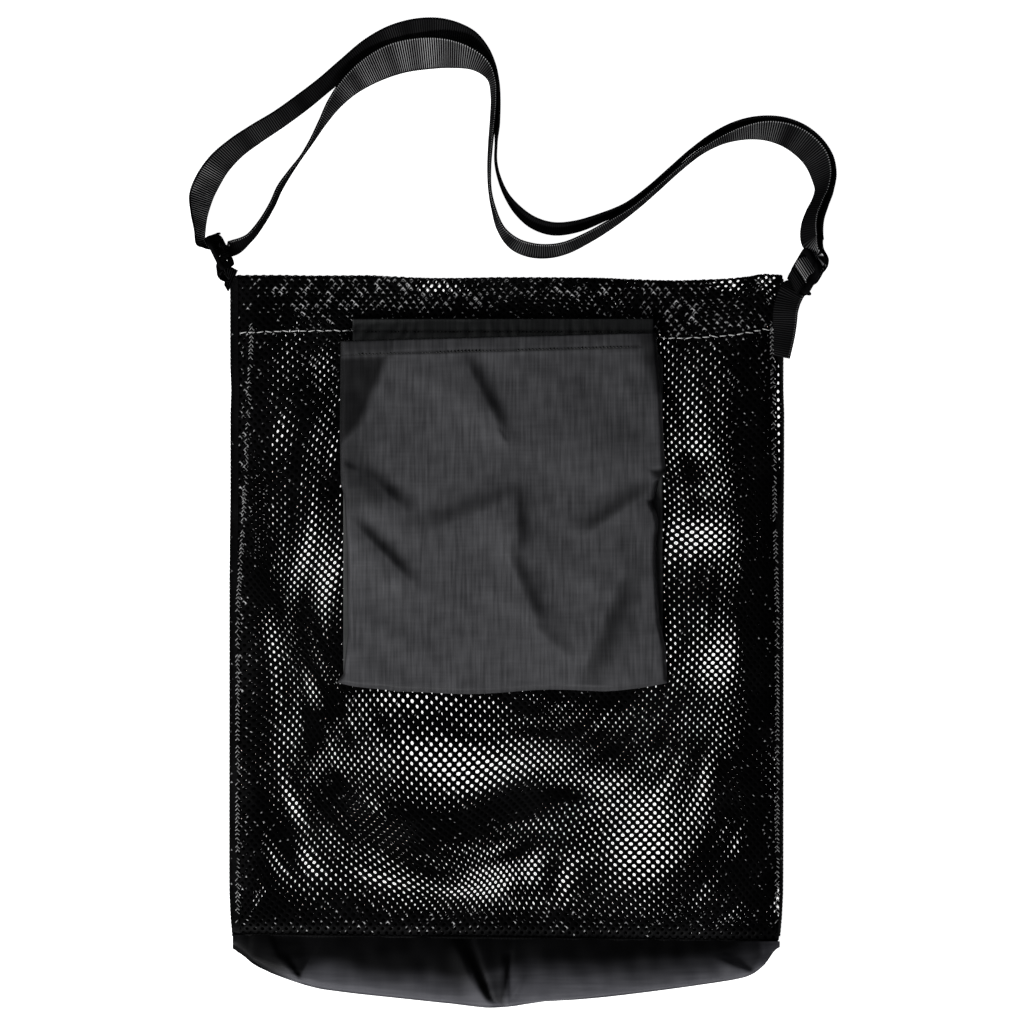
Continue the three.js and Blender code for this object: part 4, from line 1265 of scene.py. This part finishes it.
def strap_tab():
    loop = slider_stations(RIGHT_SLIDER, TAB_LOOP, 0.02)
    tab = webbing("tab_band", joined(loop, floor_stations(TAB_ALONG_SEAM, ((0, 0.02),))))
    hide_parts("strap_tab")


# Sliders
def rounded_loop(half_x, half_y, radius, steps):
    """Points round a rectangle with round corners, and the outward direction at each."""
    corners = np.array(((1, 1), (-1, 1), (-1, -1), (1, -1)))
    inner = np.array((half_x - radius, half_y - radius))
    points, outward = [], []
    for k, corner in enumerate(corners):
        for angle in np.linspace(k * np.pi / 2, (k + 1) * np.pi / 2, steps):
            outward.append(np.array((math.cos(angle), math.sin(angle))))
            points.append(corner * inner + radius * outward[-1])
    return np.array(points), np.array(outward)


def slider_body(name, node, slider):
    """A moulded loop with a middle bar, rounded all over."""
    middle, along, bars, face = slider_axes(slider)
    section, _ = rounded_loop(SLIDER_BAR / 2, SLIDER_WALL / 2, SLIDER_ROUND, 4)
    half_width, half_length = SLIDER_WIDTH / 2 - SLIDER_BAR / 2, SLIDER_LENGTH / 2 - SLIDER_BAR / 2
    path, outward = rounded_loop(half_width, half_length, SLIDER_CORNER, 6)
    plan = path[:, None] + outward[:, None] * section[None, :, :1]
    height = np.broadcast_to(section[None, :, 1], plan.shape[:2])
    loop = plan[..., :1] * bars + plan[..., 1:] * along + height[..., None] * face + middle
    rows, columns = plan.shape[:2]
    loop = np.concatenate([loop, loop[:1]])
    faces = grid_faces(rows + 1, columns, closed=True).tolist()
    start = loop.shape[0] * columns
    ends = np.linspace(-1, 1, 9) * (SLIDER_WIDTH / 2 - SLIDER_BAR * 0.6)
    bar = ends[:, None, None] * bars + section[:, :1] * along + section[:, 1:] * face + middle
    faces += (grid_faces(len(ends), columns, closed=True) + start).tolist()
    points = np.vstack([loop.reshape(-1, 3), bar.reshape(-1, 3)])
    body = piece(name, points, faces, PLASTIC)
    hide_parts(node)


# Stitches
def stitch_row(name, pairs, material, radius):
    """Short threads between pairs of points, bowed upwards and sunk at both ends."""
    share = np.linspace(0, 1, 7)
    bow = np.sin(np.pi * share)
    thick = 0.45 + 0.55 * bow**0.5
    turn = np.linspace(0, 2 * np.pi, 7)[:-1]
    points, faces = [], []
    for start, end in pairs:
        side = np.cross(UP, normalized(end - start))
        line = start + (end - start) * share[:, None] + UP * ((bow - 0.6) * radius * 1.6)[:, None]
        ring = np.cos(turn)[None, :, None] * side + np.sin(turn)[None, :, None] * UP
        tube = line[:, None] + ring * (radius * thick)[:, None, None]
        faces += tube_faces(len(share), len(turn), len(points) * len(share) * len(turn))
        points.append(tube.reshape(-1, 3))
    return piece(name, np.vstack(points), faces, material)


def on_front(places, lift):
    """Points above places on the front of the bag."""
    x, y = np.array(places).T
    return np.stack([x, y, front_top(x, y) + lift], axis=1)


def hem_stitches():
    """The line of stitches that holds the hem, with a slight zigzag, pale with painted highlight."""
    half = HEM_STITCH / 2
    pairs = []
    for k, x in enumerate(np.arange(*HEM_LINE, HEM_STITCH_STEP)):
        swing = HEM_SWING * (-1) ** k + HEM_SWING * math.sin(x * 160)
        y = float(mouth_at(x)) - HEM_DEPTH + HEM_WANDER * math.sin(x * 37)
        pairs.append(on_front([(x - half, y - swing), (x + half, y + swing)], HEM_LIFT))
    return stitch_row("hem_stitches", pairs, PAINTED_GLINT_THREAD, HEM_THREAD)


def side_chain(name, side, top, middle, low):
    """The overlocked chain down a side, from its places at the mouth, the middle and the base. Its grey
    thread carries painted highlight.
    """
    random = np.random.default_rng(71)
    pairs = []
    for y in np.arange(SEAM + CHAIN_LOW_END, MOUTH - CHAIN_HIGH_END, CHAIN_STEP):
        x = side * float(np.interp(y, (SEAM, 0, 0.06, MOUTH), (low, low, middle, top)))
        for lean in (-CHAIN_REACH, CHAIN_REACH):
            if random.random() < CHAIN_GAPS:
                continue
            low_end, high_end = random.uniform(*CHAIN_TAILS, 2)
            pairs.append(on_front([(x - lean, y - low_end), (x + lean * 0.3, y + high_end)], CHAIN_LIFT))
    return stitch_row(name, pairs, CHAIN_PAINTED_GLINT_THREAD, CHAIN_THREAD)


def pocket_stitches():
    """Dark stitches along the front leaf's hem."""
    pairs = []
    for share in np.arange(*POCKET_LINE):
        x, _, solid_x = pocket_place(np.array((share, share + POCKET_STITCH)), np.ones(2))
        y = pocket_mouth(solid_x) - POCKET_HEM
        pairs.append(np.stack([x, y, pocket_height(solid_x, y) - POCKET_SINK], axis=1))
    return stitch_row("pocket_stitches", pairs, DARK_THREAD, POCKET_THREAD)


def leaf_stitches():
    """Dark stitches along the back leaf's hem."""
    y = np.full(2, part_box("pocket_back")[1][1] - BACK_LEAF_HEM)
    pairs = []
    for start in np.arange(*LEAF_LINE):
        x = np.array((start, start + LEAF_STITCH))
        pairs.append(np.stack([x, y, leaf_height(x, y) - POCKET_SINK], axis=1))
    return stitch_row("leaf_stitches", pairs, DARK_THREAD, POCKET_THREAD)


# Pieces
net_front = net_panel("net_front", place_front, seed=51)
net_back = net_panel("net_back", place_back, seed=52)
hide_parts("mesh_front")
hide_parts("mesh_back")
bands = [side_band("side_seam_left", -1), side_band("side_seam_right", 1)]
seam = base_seam()
hem_line = hem_stitches()
chains = [
    side_chain("side_chain_left", -1, top=0.184, middle=0.192, low=0.1962),
    side_chain("side_chain_right", 1, top=0.190, middle=0.193, low=0.1945),
]
front_leaf = pocket_front()
back_leaf = pocket_back()
front_line = pocket_stitches()
back_line = leaf_stitches()
base = base_panel()
shoulder_strap()
strap_tab()
slider_body("left_slider", "strap_slider", LEFT_SLIDER)
slider_body("right_slider", "strap_ladder", RIGHT_SLIDER)


# Stage, lights and camera
def floor():
    near, far = -FLOOR_SIZE, FLOOR_SIZE
    corners = [(near, near, 0), (far, near, 0), (far, far, 0), (near, far, 0)]
    mesh = bpy.data.meshes.new("floor")
    mesh.from_pydata(corners, [], [(0, 1, 2, 3)])
    looks = {"Base Color": (0.8, 0.8, 0.8, 1), "Roughness": 0.9}
    glow = {"Emission Color": (1, 1, 1, 1), "Emission Strength": 1}
    mesh.materials.append(Shader("pale_floor").finished(looks | glow))
    obj = linked("floor", mesh)


def lamp(name, place, aim, size, power):
    light = bpy.data.lights.new(name, "AREA")
    light.shape = "RECTANGLE"
    light.size, light.size_y = size
    light.energy = power
    obj = linked(name, light)
    obj.location = place
    obj.rotation_mode = "QUATERNION"
    obj.rotation_quaternion = (Vector(aim) - Vector(place)).to_track_quat("-Z", "Y")
    obj.visible_camera = False


def studio():
    floor()
    lamp("key", place=(-1.0, -2.0, 1.15), aim=(0, 0, 0), size=(0.7, 0.7), power=100)
    lamp("left_rim", place=(-1.9, 0.1, 1.5), aim=(-0.1, 0, 0), size=(0.4, 1.6), power=12)
    world = bpy.data.worlds.new("studio")
    world.use_nodes = True
    sky = world.node_tree.nodes["Background"].inputs
    sky["Color"].default_value = (0.9, 0.92, 1, 1)
    sky["Strength"].default_value = 0.08
    bpy.context.scene.world = world
    bpy.context.scene.view_settings.view_transform = "Standard"


def camera():
    lens = bpy.data.cameras.new("camera")
    lens.sensor_width = SENSOR
    lens.lens = SENSOR * VIEW_DISTANCE / VIEW_WIDTH
    lens.clip_end = 100
    obj = linked("camera", lens)
    x, y, z = VIEW_MIDDLE
    obj.location = (x, y, z + VIEW_DISTANCE)
    bpy.context.scene.camera = obj


studio()
camera()
